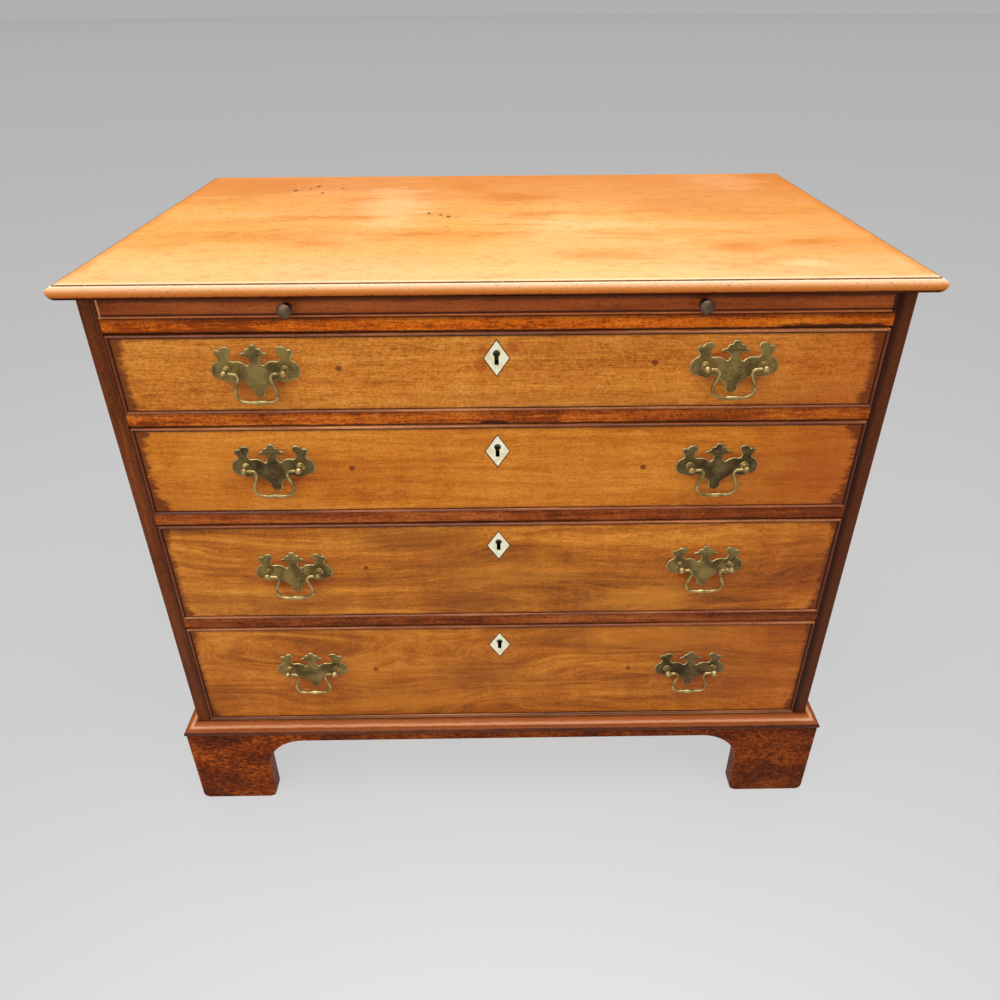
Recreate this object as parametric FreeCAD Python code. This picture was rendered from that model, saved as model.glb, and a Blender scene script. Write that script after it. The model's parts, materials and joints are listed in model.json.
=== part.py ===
import FreeCAD, Part
import math
import os
from dataclasses import dataclass

# Bachelors chest: a low mahogany chest of four long drawers under a brushing slide, on a moulded
# plinth with bracket feet. All sizes are in millimetres.
#
# Bench frame: X runs from left to right with 0 in the middle, Y runs back from the front face of
# the case, and Z runs up from the floor. Pieces are drawn in the bench frame and moved by FRONT_Y
# as they are saved, which puts the origin on the floor under the middle of the whole chest.

V = FreeCAD.Vector

# ---- Case ----
CASE_WIDTH = 864.0
CASE_DEPTH = 505.0
SIDE_T = 18.0
BOTTOM_T = 18.0
BACK_T = 12.0
BACK_REBATE = 9.0  # how far the back boards reach into each side
BACK_BOARDS = 4
BACK_LAP = 8.0  # overlap of one back board on the next
TONGUE_T = 7.0  # tongue on each side's top edge, let into the top board
TONGUE_H = 5.0

# ---- Top board ----
TOP_T = 15.5
TOP_OVERHANG = 17.0  # at the front
TOP_END_OVERHANG = 19.0  # at both ends
TOP_BACK_OVERHANG = 7.0
TOP_STEP = 1.3  # depth of the step between the flat and the rounded edge
TOP_STEP_IN = 5.7  # from the nose in to the step
TOP_NOSE_DROP = 6.0  # from the top surface down to the outermost line of the edge
TOP_UNDERCUT = 5.0  # how far the edge falls back at the underside

# ---- Openings, top drawer first ----
SLIDE_SPACE = 25.5
OPENING_1 = 95.5
OPENING_2 = 119.0
OPENING_3 = 150.0
OPENING_4 = 172.5

# ---- Rails, runners and dust boards ----
RAIL_T = 16.0
RAIL_DEPTH = 55.0
RUNNER_W = 42.0
DUST_T = 7.0
DUST_GROOVE = 8.0
HOUSING_DEPTH = 6.0  # how far rails, runners and bottom are let into the sides
HOUSING_STOP = 8.0  # the housings stop this far behind the front edge
STOP_X = 150.0  # drawer stops, from the middle of the chest
STOP_W = 32.0
STOP_LENGTH = 18.0
STOP_T = 5.0

# ---- Base moulding ----
MOULD_OUT = 17.0
MOULD_NOSE_R = 4.6
MOULD_COVE_R = 6.0
MOULD_LIP = 2.0  # flat at the top of the cove

# ---- Plinth with bracket feet ----
PLINTH_HEIGHT = 134.0  # floor to the underside of the case
PLINTH_OUT = 15.0
PLINTH_T = 22.0
APRON_H = 12.5  # depth of the board between the feet
FOOT_W = 108.5
FOOT_CORNER_R = 8.0
FOOT_TOE_R = 10.0
ARCH_R = 54.0  # round of the arch above each foot
REAR_BRACKET_T = 18.0
REAR_BRACKET_W = 96.0
REAR_BRACKET_TOE = 52.0
REAR_TOE_H = 40.0  # the rear brackets run straight up to here, then slope
BLOCK_SIZE = 34.0  # corner blocks inside the feet
BLOCK_LIFT = 4.0  # they stop short of the floor
STRIP_SIZE = 11.0  # glue strips between the plinth and the case

# ---- Upright line from which knobs and keyholes are set out ----
FITTINGS_X = -3.0  # a little left of the middle of the chest

# ---- Brushing slide ----
SLIDE_T = 24.8
SLIDE_BACK_GAP = 53.0  # from the slide's back edge to the back boards
SLIDE_SIDE_GAP = 0.8
LIP_DEPTH = 20.0
CLEAT_W = 48.0
CLEAT_TONGUE = 9.0
CLEAT_TONGUE_T = 8.0
SLIDE_BEAD_R = 1.8
KNOB_X = 215.0  # each knob from the line of the fittings
KNOB_DROP = 13.5  # from the underside of the top board down to the knob's axis
KNOB_REACH = 16.0
KNOB_PIN_R = 2.5
KNOB_PIN_LENGTH = 14.0
# A knob's outline as radius and distance back from its front: domed head, waist and foot.
KNOB_OUTLINE = ((3.6, 0.0), (6.8, 1.0), (8.0, 2.5), (7.2, 4.2), (4.1, 5.0), (3.4, 10.5),
                (5.4, KNOB_REACH))

# ---- Drawers ----
DRAWER_BACK_GAP = 23.0  # from a drawer's back to the back boards
DRAWER_SIDE_GAP = 0.75
DRAWER_TOP_GAP = 1.4
RUN_GAP = 0.3  # between a moving piece and what it runs on or stops against
FRONT_T = 20.0
DRAWER_SIDE_T = 9.0
DRAWER_BACK_T = 9.0
SIDE_SET_DOWN = 4.0  # the sides stand lower than the front
BACK_SET_DOWN = 6.0  # and the back stands lower than the sides
DRAWER_BOTTOM_T = 7.0
DRAWER_BOTTOM_LIFT = 8.0  # from the lower edge of a side to its groove
DRAWER_GROOVE = 5.0
FRONT_LAP = 8.0  # wood left in front of the dovetails
TAIL_SLOPE = 1.0 / 7.0
PIN_W = 4.0  # narrow end of a dovetail pin
PIN_EDGE = 6.0  # half pins at the top and bottom
TAIL_PITCH = 33.0  # about one dovetail to this much height

# ---- Cock beads ----
BEAD_T = 3.4
BEAD_OUT = 2.0
BEAD_IN = 6.5

# ---- Keyhole plates and locks ----
KEY_DROP_1 = 31.8  # from the top of the opening down to the middle of the plate
KEY_DROP_LOWER = 36.0  # the same on the three lower drawers
PLATE_W = 27.0
PLATE_H = 41.0
PLATE_T = 2.5
KEY_HEAD_R = 3.5
KEY_SLOT_W = 4.5
KEY_HEAD_RISE = 4.0  # the round of the keyhole above the plate's middle
KEY_SLOT_FALL = 8.5  # the foot of the slot below the plate's middle
LOCK_W = 64.0
LOCK_H = 52.0
LOCK_T = 9.5
LOCK_CAP_T = 1.2
LOCK_CAP_EDGE = 4.0
KEY_DEPTH_IN_LOCK = 5.0
BOLT_W = 20.0
BOLT_T = 4.5
BOLT_H = 22.0
BOLT_GAP = 0.3
BOLT_THROW = 8.0
MORTISE_GAP = 1.0

# ---- Handles ----
# The left and the right handle of each drawer, set by hand and no two quite alike: the middle of
# the handle from the middle of the chest, and its posts from the top of the opening down.
HANDLES_1 = ((-261.0, 42.2), (252.7, 42.2))
HANDLES_2 = ((-260.7, 52.6), (250.6, 57.5))
HANDLES_3 = ((-258.3, 71.9), (254.4, 69.2))
HANDLES_4 = ((-256.7, 75.4), (255.8, 82.2))
POST_SPACING = 62.5
BACK_PLATE_T = 1.3
STANDOFF = 11.0  # from the drawer front to the axis on which the bail swings
BALL_R = 4.6
BALL_RINGS = (-62.0, -28.0, 5.0)  # degrees, from the ball's tip to its widest ring
POST_NECK_R = 2.4
POST_RING_R = 4.0
POST_RING_T = 1.8
POST_FLANGE_R = 5.2
POST_FLANGE_T = 1.8
SHANK_W = 4.4  # the posts' shanks are square
NUT_SIZE = 10.0
NUT_T = 3.5
SHANK_PROUD = 1.5
SHANK_GAP = 0.05
BAIL_R = 1.9
GRIP_R = 2.9
SWELL_HALF = 8.5  # half the length of the swelling in the grip
SWELL_SHOULDER = 0.75  # share of the swelling reached halfway along it
BAIL_DROP = 34.0
GRIP_HALF = 11.8  # straight part of the grip, from the middle
BAIL_BEND_R = 11.0
BAIL_LEAN = 20.0  # degrees by which the arms lean in towards the neck
NECK_BEND_R = 5.0
BAIL_FIT = 0.06  # running clearance round the bail's ends
BAIL_END_PAST = 1.2  # the ends pass the middle of the ball by this much
BORE_END_GAP = 0.4

# ---- Right half of a back plate's outline, from top to bottom ----
# Each arc is given by a point on its way and its end, both measured across and up from the
# point midway between the two posts.
BAT_WING_TOP = (0, 29.2)
BAT_WING_ARCS = (
    ((3.8, 28), (6, 24.6)),
    ((11.6, 21.6), (15.4, 17)),
    ((10, 16), (6.4, 12)),
    ((6, 8), (9.6, 5.8)),
    ((15, 9.6), (23.6, 10)),
    ((27.2, 13.6), (24.8, 19.6)),
    ((25, 24.8), (29.2, 27.1)),
    ((33.4, 25.8), (36.2, 22.8)),
    ((39, 23.4), (41.6, 21.8)),
    ((41.4, 17.4), (39.2, 13)),
    ((46.4, 5.4), (47.8, -1)),
    ((45.8, -8), (39.6, -11.4)),
    ((33, -14), (26.6, -15)),
    ((21, -12.8), (16.2, -14.4)),
    ((11.8, -18.8), (7, -24)),
    ((5.2, -30.4), (0, -33.4)),
)

# ---- How finely small round work is drawn ----
TURNED_SIDES = 8  # flats round a turned post
KNOB_SIDES = 16
WIRE_SIDES = 6
BEND_STEPS = 3  # flats along each bend of a bail
CHORD_TURN = 70.0  # most degrees to one flat of a small curved outline

# ---- Worked out from the sizes above ----
HALF_CASE = CASE_WIDTH / 2
HALF_OPENING = HALF_CASE - SIDE_T
BACK_FACE_Y = CASE_DEPTH - BACK_T
SLIDE_DEPTH = BACK_FACE_Y - SLIDE_BACK_GAP
DRAWER_DEPTH = BACK_FACE_Y - DRAWER_BACK_GAP
TOP_BACK_Y = CASE_DEPTH + TOP_BACK_OVERHANG
FLOOR_4_Z = PLINTH_HEIGHT + BOTTOM_T
RAIL_4_Z = FLOOR_4_Z + OPENING_4
RAIL_3_Z = RAIL_4_Z + RAIL_T + OPENING_3
RAIL_2_Z = RAIL_3_Z + RAIL_T + OPENING_2
RAIL_1_Z = RAIL_2_Z + RAIL_T + OPENING_1
RAIL_LEVELS = (RAIL_1_Z, RAIL_2_Z, RAIL_3_Z, RAIL_4_Z)
SLIDE_FLOOR_Z = RAIL_1_Z + RAIL_T
CASE_TOP_Z = SLIDE_FLOOR_Z + SLIDE_SPACE
TOP_Z = CASE_TOP_Z + TOP_T
MOULD_H = 2 * MOULD_NOSE_R + MOULD_COVE_R
REACH = max(STANDOFF + BALL_R, KNOB_REACH, TOP_OVERHANG, MOULD_OUT)
FRONT_Y = (REACH - TOP_BACK_Y) / 2
HALF_DRAWER = HALF_OPENING - DRAWER_SIDE_GAP
HALF_POSTS = POST_SPACING / 2
MARGIN = 2.0  # how far a cutting tool runs past the wood
SAME_POINT = 1e-6


@dataclass(frozen=True)
class Drawer:
    """The sizes that differ from drawer to drawer."""

    number: int
    floor_z: float
    opening: float
    handles: tuple
    key_drop: float

    @property
    def ceiling(self):
        """Height of the underside of the rail above."""
        return self.floor_z + self.opening

    @property
    def bottom(self):
        """Lower edge of the front and sides."""
        return self.floor_z + RUN_GAP

    @property
    def top(self):
        """Upper edge of the front, cock bead included."""
        return self.ceiling - DRAWER_TOP_GAP

    @property
    def side_top(self):
        """Upper edge of the sides."""
        return self.top - SIDE_SET_DOWN

    @property
    def panel_z(self):
        """Underside of the drawer bottom."""
        return self.bottom + DRAWER_BOTTOM_LIFT

    @property
    def back_z(self):
        """Lower edge of the back, which stands on the drawer bottom."""
        return self.panel_z + DRAWER_BOTTOM_T

    @property
    def handle_places(self):
        """The middle of each handle on the line of its posts, as (x, z), the left one first."""
        return [(x, self.ceiling - drop) for x, drop in self.handles]

    @property
    def key_z(self):
        """Height of the middle of the keyhole plate."""
        return self.ceiling - self.key_drop


DRAWERS = (
    Drawer(1, RAIL_2_Z + RAIL_T, OPENING_1, HANDLES_1, KEY_DROP_1),
    Drawer(2, RAIL_3_Z + RAIL_T, OPENING_2, HANDLES_2, KEY_DROP_LOWER),
    Drawer(3, RAIL_4_Z + RAIL_T, OPENING_3, HANDLES_3, KEY_DROP_LOWER),
    Drawer(4, FLOOR_4_Z, OPENING_4, HANDLES_4, KEY_DROP_LOWER),
)


# ---- Drawing tools ----
def front_view(a, b, depth):
    """Place a point drawn in the front view (X, Z) at a depth Y."""
    return V(a, depth, b)


def end_view(a, b, depth):
    """Place a point drawn in the end view (Y, Z) at a distance X."""
    return V(depth, a, b)


def plan_view(a, b, depth):
    """Place a point drawn in plan (X, Y) at a height Z."""
    return V(a, b, depth)


class Outline:
    """A closed flat outline of straight and round stretches, drawn from point to point."""

    def __init__(self, a, b):
        self.first = (a, b)
        self.last = (a, b)
        self.runs = []

    def line(self, a, b):
        """Draw a straight stretch to a point."""
        self.runs.append((self.last, None, (a, b)))
        self.last = (a, b)
        return self

    def arc(self, via, to):
        """Draw a round stretch to a point, by way of another."""
        self.runs.append((self.last, via, to))
        self.last = to
        return self

    def corner(self, corner, to):
        """Round a square corner with a quarter circle that ends at a point."""
        centre = (self.last[0] + to[0] - corner[0], self.last[1] + to[1] - corner[1])
        reach = math.sqrt(0.5)
        via = tuple(c + reach * (k - c) for c, k in zip(centre, corner))
        return self.arc(via, to)

    def small_corner(self, corner, to):
        """Round a small corner in the same way, but with flats."""
        start = self.last
        points = chord_points(*self.corner(corner, to).runs.pop())
        self.last = start
        for point in points:
            self.line(*point)
        return self

    def mirrored(self):
        """Close the outline with its own mirror image in the upright axis."""
        for start, via, end in reversed(list(self.runs)):
            flipped = (-start[0], start[1])
            if via is None:
                self.line(*flipped)
            else:
                self.arc((-via[0], via[1]), flipped)
        return self

    def flattened(self):
        """The same outline with each round stretch drawn as a few flats."""
        plain = Outline(*self.first)
        for start, via, end in self.runs:
            for point in chord_points(start, via, end):
                plain.line(*point)
        return plain

    def solid(self, view, depth, length):
        """Stand the outline up in a view at a depth, and give it its length."""
        if math.dist(self.first, self.last) > SAME_POINT:
            self.line(*self.first)
        edges = []
        for start, via, end in self.runs:
            p, q = view(*start, depth), view(*end, depth)
            if via is None:
                edges.append(Part.LineSegment(p, q).toShape())
            else:
                edges.append(Part.Arc(p, view(*via, depth), q).toShape())
        along = view(0, 0, 1) * length
        return Part.Face(Part.Wire(edges)).extrude(along)


def chord_points(start, via, end):
    """The ends of the flats that stand for one stretch of an outline."""
    if via is None:
        return [end]
    (ax, ay), (bx, by), (cx, cy) = start, via, end
    cross = 2 * (ax * (by - cy) + bx * (cy - ay) + cx * (ay - by))
    aa, bb, cc = ax * ax + ay * ay, bx * bx + by * by, cx * cx + cy * cy
    x = (aa * (by - cy) + bb * (cy - ay) + cc * (ay - by)) / cross
    y = (aa * (cx - bx) + bb * (ax - cx) + cc * (bx - ax)) / cross
    radius = math.hypot(ax - x, ay - y)
    first = math.atan2(ay - y, ax - x)
    turn = (math.atan2(cy - y, cx - x) - first) % math.tau
    if (math.atan2(by - y, bx - x) - first) % math.tau > turn:
        turn -= math.tau
    steps = max(1, math.ceil(math.degrees(abs(turn)) / CHORD_TURN))
    angles = [first + turn * step / steps for step in range(1, steps)]
    return [(x + radius * math.cos(a), y + radius * math.sin(a)) for a in angles] + [end]


def skin(rings):
    """Make a solid whose flats run from each ring of points to the next."""
    loops = [rings[0], rings[-1]]
    for low, high in zip(rings, rings[1:]):
        for k, point in enumerate(low):
            following = (k + 1) % len(low)
            loops.append([point, low[following], high[following], high[k]])
    faces = [Part.Face(Part.makePolygon(loop + loop[:1])) for loop in loops]
    solid = Part.Solid(Part.Shell(faces))
    if solid.Volume < 0:
        solid.reverse()
    return solid


def turned(profile, sides, x, z):
    """Turn a profile of (radius, depth) points about an axis along Y, with flats round it."""
    rings = []
    for radius, y in profile:
        angles = [math.tau * (k + 0.5) / sides for k in range(sides)]
        rings.append([V(x + radius * math.cos(a), y, z + radius * math.sin(a)) for a in angles])
    return skin(rings)


def polygon(points, view, depth, length):
    """Make a solid from a straight sided outline."""
    outline = Outline(*points[0])
    for point in points[1:]:
        outline.line(*point)
    return outline.solid(view, depth, length)


def box(x0, x1, y0, y1, z0, z1):
    """Make a block between its lowest and highest corners."""
    return Part.makeBox(x1 - x0, y1 - y0, z1 - z0, V(x0, y0, z0))


def square_bar(x, z, width, y0, y1):
    """Make a square bar along Y."""
    half = width / 2
    return box(x - half, x + half, y0, y1, z - half, z + half)


def about(middle, width):
    """The two edges of a width that lies evenly about its middle."""
    return middle - width / 2, middle + width / 2


def both_sides(shape):
    """Give a left hand piece and its right hand mirror image."""
    return [shape, shape.mirror(V(0, 0, 0), V(1, 0, 0))]


def joined(shapes):
    """Glue shapes into one solid."""
    whole = shapes[0].fuse(shapes[1:])
    return whole.removeSplitter().Solids[0]


def without(shape, waste):
    """Cut the waste away from a solid."""
    return shape.cut(waste).removeSplitter().Solids[0]


def save(name, shapes):
    """Write one node, a group of solids, moved into the chest's own frame."""
    group = Part.Compound([shape.copy() for shape in shapes])
    group.translate(V(0, FRONT_Y, 0))
    group.exportStep("parts/%s.step" % name)


# ---- Case ----
def edge_arc(outline, nose, end, towards):
    """Draw a round stretch that stands upright at the nose of an edge.

    towards says whether the stretch runs "to" or "from" the nose.
    """
    run = abs(end[0] - nose[0])
    rise = end[1] - nose[1]
    radius = (run * run + rise * rise) / (2 * run)
    inward = math.copysign(1.0, end[0] - nose[0])
    half = math.asin(min(1.0, abs(rise) / radius)) / 2
    if run > radius:
        half = math.pi / 2 - half
    via = (
        nose[0] + inward * radius * (1 - math.cos(half)),
        nose[1] + math.copysign(radius * math.sin(half), rise),
    )
    return outline.arc(via, nose if towards == "to" else end)


def top_edge_waste(nose_at, inward):
    """Draw what is planed off the edge of the top board, as a profile."""
    step_in = nose_at + inward * TOP_STEP_IN
    under_in = nose_at + inward * TOP_UNDERCUT
    outside = nose_at - inward * MARGIN
    nose = (nose_at, TOP_Z - TOP_NOSE_DROP)
    waste = Outline(outside, TOP_Z + MARGIN).line(step_in, TOP_Z + MARGIN)
    waste.line(step_in, TOP_Z - TOP_STEP)
    edge_arc(waste, nose, waste.last, "to")
    edge_arc(waste, nose, (under_in, CASE_TOP_Z), "from")
    return waste.line(under_in, CASE_TOP_Z - MARGIN).line(outside, CASE_TOP_Z - MARGIN)


def side_tongue(fit=0.0):
    """The tongue along the top edge of the left side, or the groove for it."""
    middle = -HALF_CASE + SIDE_T / 2
    half = TONGUE_T / 2 + fit
    return box(middle - half, middle + half, HOUSING_STOP, BACK_FACE_Y,
               CASE_TOP_Z, CASE_TOP_Z + TONGUE_H)


def top_board():
    """The top, moulded on its front edge and both ends, and grooved for the sides."""
    half = HALF_CASE + TOP_END_OVERHANG
    board = box(-half, half, -TOP_OVERHANG, TOP_BACK_Y, CASE_TOP_Z, TOP_Z)
    front = top_edge_waste(-TOP_OVERHANG, 1).solid(end_view, -half - MARGIN, 2 * (half + MARGIN))
    end = top_edge_waste(-half, 1).solid(
        front_view, -TOP_OVERHANG - MARGIN, TOP_BACK_Y + TOP_OVERHANG + 2 * MARGIN)
    return without(board, [front] + both_sides(end) + both_sides(side_tongue()))


def left_side():
    """The left side, housed for rails, runners and bottom, and rebated for the back."""
    board = box(-HALF_CASE, -HALF_OPENING, 0, CASE_DEPTH, PLINTH_HEIGHT, CASE_TOP_Z)
    board = joined([board, side_tongue()])
    inner = -HALF_OPENING + MARGIN
    waste = [box(-HALF_OPENING - HOUSING_DEPTH, inner, HOUSING_STOP, CASE_DEPTH + MARGIN,
                 level, level + RAIL_T) for level in RAIL_LEVELS]
    waste.append(box(-HALF_OPENING - HOUSING_DEPTH, inner, HOUSING_STOP, CASE_DEPTH + MARGIN,
                     PLINTH_HEIGHT - MARGIN, FLOOR_4_Z))
    waste.append(box(-HALF_OPENING - BACK_REBATE, inner, BACK_FACE_Y, CASE_DEPTH + MARGIN,
                     PLINTH_HEIGHT - MARGIN, CASE_TOP_Z))
    return without(board, waste)


def shouldered_board(depth, z0, thickness):
    """A cross board that fills the width at the front and is let into the sides behind."""
    half = HALF_OPENING + HOUSING_DEPTH
    return joined([
        box(-HALF_OPENING, HALF_OPENING, 0, depth, z0, z0 + thickness),
        box(-half, half, HOUSING_STOP, depth, z0, z0 + thickness),
    ])


def dust_groove_z(level):
    """Height of the groove for the dust board at a rail's level."""
    return level + (RAIL_T - DUST_T) / 2


def rail(level):
    """A rail with a groove behind for the dust board and a mortise below for the bolt."""
    groove_z = dust_groove_z(level)
    half = HALF_OPENING + HOUSING_DEPTH + MARGIN
    groove = box(-half, half, RAIL_DEPTH - DUST_GROOVE, RAIL_DEPTH + MARGIN,
                 groove_z, groove_z + DUST_T)
    depth = BOLT_THROW - DRAWER_TOP_GAP + MORTISE_GAP
    mortise = box(*about(FITTINGS_X, BOLT_W + 2 * MORTISE_GAP), bolt_y() - MORTISE_GAP,
                  bolt_y() + BOLT_T + MORTISE_GAP, level - MARGIN, level + depth)
    return without(shouldered_board(RAIL_DEPTH, level, RAIL_T), [groove, mortise])


def left_runner(level):
    """A drawer runner, housed in the side and tongued into the back of its rail."""
    inner = -HALF_OPENING + RUNNER_W
    outer = -HALF_OPENING - HOUSING_DEPTH
    groove_z = dust_groove_z(level)
    strip = box(outer, inner, RAIL_DEPTH, BACK_FACE_Y, level, level + RAIL_T)
    tongue = box(outer, inner - DUST_GROOVE, RAIL_DEPTH - DUST_GROOVE, RAIL_DEPTH,
                 groove_z, groove_z + DUST_T)
    groove = box(inner - DUST_GROOVE, inner + MARGIN, RAIL_DEPTH - DUST_GROOVE, CASE_DEPTH,
                 groove_z, groove_z + DUST_T)
    return without(joined([strip, tongue]), [groove])


def dust_board(level):
    """A thin board that fills the space between two runners and the rail."""
    half = HALF_OPENING - RUNNER_W + DUST_GROOVE
    z0 = dust_groove_z(level)
    return box(-half, half, RAIL_DEPTH - DUST_GROOVE, BACK_FACE_Y, z0, z0 + DUST_T)


def left_drawer_stop(drawer):
    """A block behind a drawer front, which halts the drawer flush with the case."""
    y0 = FRONT_T + RUN_GAP
    return box(-STOP_X - STOP_W / 2, -STOP_X + STOP_W / 2, y0, y0 + STOP_LENGTH,
               drawer.floor_z, drawer.floor_z + STOP_T)


def back_board(index):
    """One upright back board, half lapped over the next."""
    half = HALF_OPENING + BACK_REBATE
    pitch = 2 * half / BACK_BOARDS
    x0 = -half + index * pitch
    x1 = x0 + pitch
    middle = BACK_FACE_Y + BACK_T / 2
    lap = BACK_LAP if index < BACK_BOARDS - 1 else 0.0
    notch = BACK_LAP if index > 0 else 0.0
    points = [(x0, middle), (x0, CASE_DEPTH), (x1, CASE_DEPTH), (x1, middle),
              (x1 + lap, middle), (x1 + lap, BACK_FACE_Y), (x0 + notch, BACK_FACE_Y),
              (x0 + notch, middle)]
    if not lap:
        points[3:5] = []
    if not notch:
        points[-1:] = []
        points[0:1] = []
    return polygon(points, plan_view, PLINTH_HEIGHT, CASE_TOP_Z - PLINTH_HEIGHT)


# ---- Base ----
def front_mitre(out, depth, z0, z1):
    """The space of a front board whose ends are mitred at the corners of the case."""
    wide = HALF_CASE + out
    narrow = wide - depth
    points = [(-wide, -out), (wide, -out), (narrow, depth - out), (-narrow, depth - out)]
    return polygon(points, plan_view, z0, z1 - z0)


def left_mitre(out, depth, z0, z1):
    """The space of a left hand board that meets the front board in a mitre."""
    wide = HALF_CASE + out
    points = [(-wide, -out), (depth - wide, depth - out), (depth - wide, CASE_DEPTH),
              (-wide, CASE_DEPTH)]
    return polygon(points, plan_view, z0, z1 - z0)


def mould_profile(face, outward):
    """The base moulding's section: a round nose below a cove."""
    z0 = PLINTH_HEIGHT
    nose_z = z0 + 2 * MOULD_NOSE_R
    nose_in = face + outward * (MOULD_OUT - MOULD_NOSE_R)
    lip = face + outward * MOULD_LIP
    cove_out = lip + outward * MOULD_COVE_R
    bite = MOULD_COVE_R * (1 - math.sqrt(0.5))
    section = Outline(face, z0).line(nose_in, z0)
    section.arc((face + outward * MOULD_OUT, z0 + MOULD_NOSE_R), (nose_in, nose_z))
    section.line(cove_out, nose_z)
    section.arc((lip + outward * bite, nose_z + bite), (lip, nose_z + MOULD_COVE_R))
    return section.line(face, nose_z + MOULD_COVE_R)


def base_moulding():
    """Three mitred lengths of moulding round the foot of the case."""
    z1 = PLINTH_HEIGHT + MOULD_H
    wide = HALF_CASE + MOULD_OUT
    front = mould_profile(0, -1).solid(end_view, -wide, 2 * wide)
    left = mould_profile(-HALF_CASE, -1).solid(front_view, -MOULD_OUT, CASE_DEPTH + MOULD_OUT)
    front = front.common(front_mitre(MOULD_OUT, MOULD_OUT, PLINTH_HEIGHT, z1)).Solids[0]
    left = left.common(left_mitre(MOULD_OUT, MOULD_OUT, PLINTH_HEIGHT, z1)).Solids[0]
    return [front] + both_sides(left)


def bracket_board(start, end):
    """A plinth board seen flat: two bracket feet and the apron between them."""
    apron = PLINTH_HEIGHT - APRON_H
    spring = apron - ARCH_R
    near, far = start + FOOT_W, end - FOOT_W
    board = Outline(start, PLINTH_HEIGHT).line(start, FOOT_CORNER_R)
    board.small_corner((start, 0), (start + FOOT_CORNER_R, 0))
    board.line(near - FOOT_TOE_R, 0).small_corner((near, 0), (near, FOOT_TOE_R))
    board.line(near, spring).corner((near, apron), (near + ARCH_R, apron))
    board.line(far - ARCH_R, apron).corner((far, apron), (far, spring))
    board.line(far, FOOT_TOE_R).small_corner((far, 0), (far + FOOT_TOE_R, 0))
    board.line(end - FOOT_CORNER_R, 0).small_corner((end, 0), (end, FOOT_CORNER_R))
    return board.line(end, PLINTH_HEIGHT)


def plinth_front():
    """The front plinth board with both front feet, mitred at its ends."""
    half = HALF_CASE + PLINTH_OUT
    board = bracket_board(-half, half).solid(front_view, -PLINTH_OUT, PLINTH_T)
    return board.common(front_mitre(PLINTH_OUT, PLINTH_T, 0, PLINTH_HEIGHT)).Solids[0]


def plinth_left():
    """The left plinth board, mitred to the front one and square at the back."""
    outer = HALF_CASE + PLINTH_OUT
    board = bracket_board(-PLINTH_OUT, CASE_DEPTH).solid(end_view, -outer, PLINTH_T)
    return board.common(left_mitre(PLINTH_OUT, PLINTH_T, 0, PLINTH_HEIGHT)).Solids[0]


def left_foot_pieces():
    """The rear bracket and the corner blocks of the two left feet."""
    inner = -HALF_CASE - PLINTH_OUT + PLINTH_T
    bracket_y = CASE_DEPTH - REAR_BRACKET_T
    bracket = polygon(
        [(inner, 0), (inner + REAR_BRACKET_TOE, 0), (inner + REAR_BRACKET_TOE, REAR_TOE_H),
         (inner + REAR_BRACKET_W, PLINTH_HEIGHT - APRON_H),
         (inner + REAR_BRACKET_W, PLINTH_HEIGHT), (inner, PLINTH_HEIGHT)],
        front_view, bracket_y, REAR_BRACKET_T)
    front_y = PLINTH_T - PLINTH_OUT
    blocks = [box(inner, inner + BLOCK_SIZE, y0, y0 + BLOCK_SIZE, BLOCK_LIFT, PLINTH_HEIGHT)
              for y0 in (front_y, bracket_y - BLOCK_SIZE)]
    return [bracket] + blocks


def glue_strips():
    """Square strips in the angle between the plinth boards and the case."""
    inner = HALF_CASE + PLINTH_OUT - PLINTH_T
    front_y = PLINTH_T - PLINTH_OUT
    z0 = PLINTH_HEIGHT - STRIP_SIZE
    half = inner - BLOCK_SIZE
    front = box(-half, half, front_y, front_y + STRIP_SIZE, z0, PLINTH_HEIGHT)
    left = box(-inner, STRIP_SIZE - inner, front_y + BLOCK_SIZE,
               CASE_DEPTH - REAR_BRACKET_T - BLOCK_SIZE, z0, PLINTH_HEIGHT)
    return [front] + both_sides(left)


def foot_pieces():
    """Everything of plain softwood behind and between the feet."""
    pieces = glue_strips()
    for piece in left_foot_pieces():
        pieces += both_sides(piece)
    return pieces


# ---- Brushing slide ----
def slide_bottom():
    """Underside of the slide."""
    return SLIDE_FLOOR_Z + RUN_GAP


def slide_cleat_tongue():
    """The tongue on the slide panel's left end, and the groove that it fills."""
    middle = slide_bottom() + SLIDE_T / 2
    shoulder = -HALF_OPENING + SLIDE_SIDE_GAP + CLEAT_W
    return box(shoulder - CLEAT_TONGUE, shoulder, LIP_DEPTH, SLIDE_DEPTH,
               middle - CLEAT_TONGUE_T / 2, middle + CLEAT_TONGUE_T / 2)


def slide_panel():
    """The board of the slide between its cleats."""
    half = HALF_OPENING - SLIDE_SIDE_GAP - CLEAT_W
    panel = box(-half, half, LIP_DEPTH, SLIDE_DEPTH, slide_bottom(), slide_bottom() + SLIDE_T)
    return joined([panel] + both_sides(slide_cleat_tongue()))


def left_cleat():
    """The cleat across the left end of the slide, which keeps it flat."""
    outer = -HALF_OPENING + SLIDE_SIDE_GAP
    cleat = box(outer, outer + CLEAT_W, LIP_DEPTH, SLIDE_DEPTH,
                slide_bottom(), slide_bottom() + SLIDE_T)
    return without(cleat, [slide_cleat_tongue()])


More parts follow.
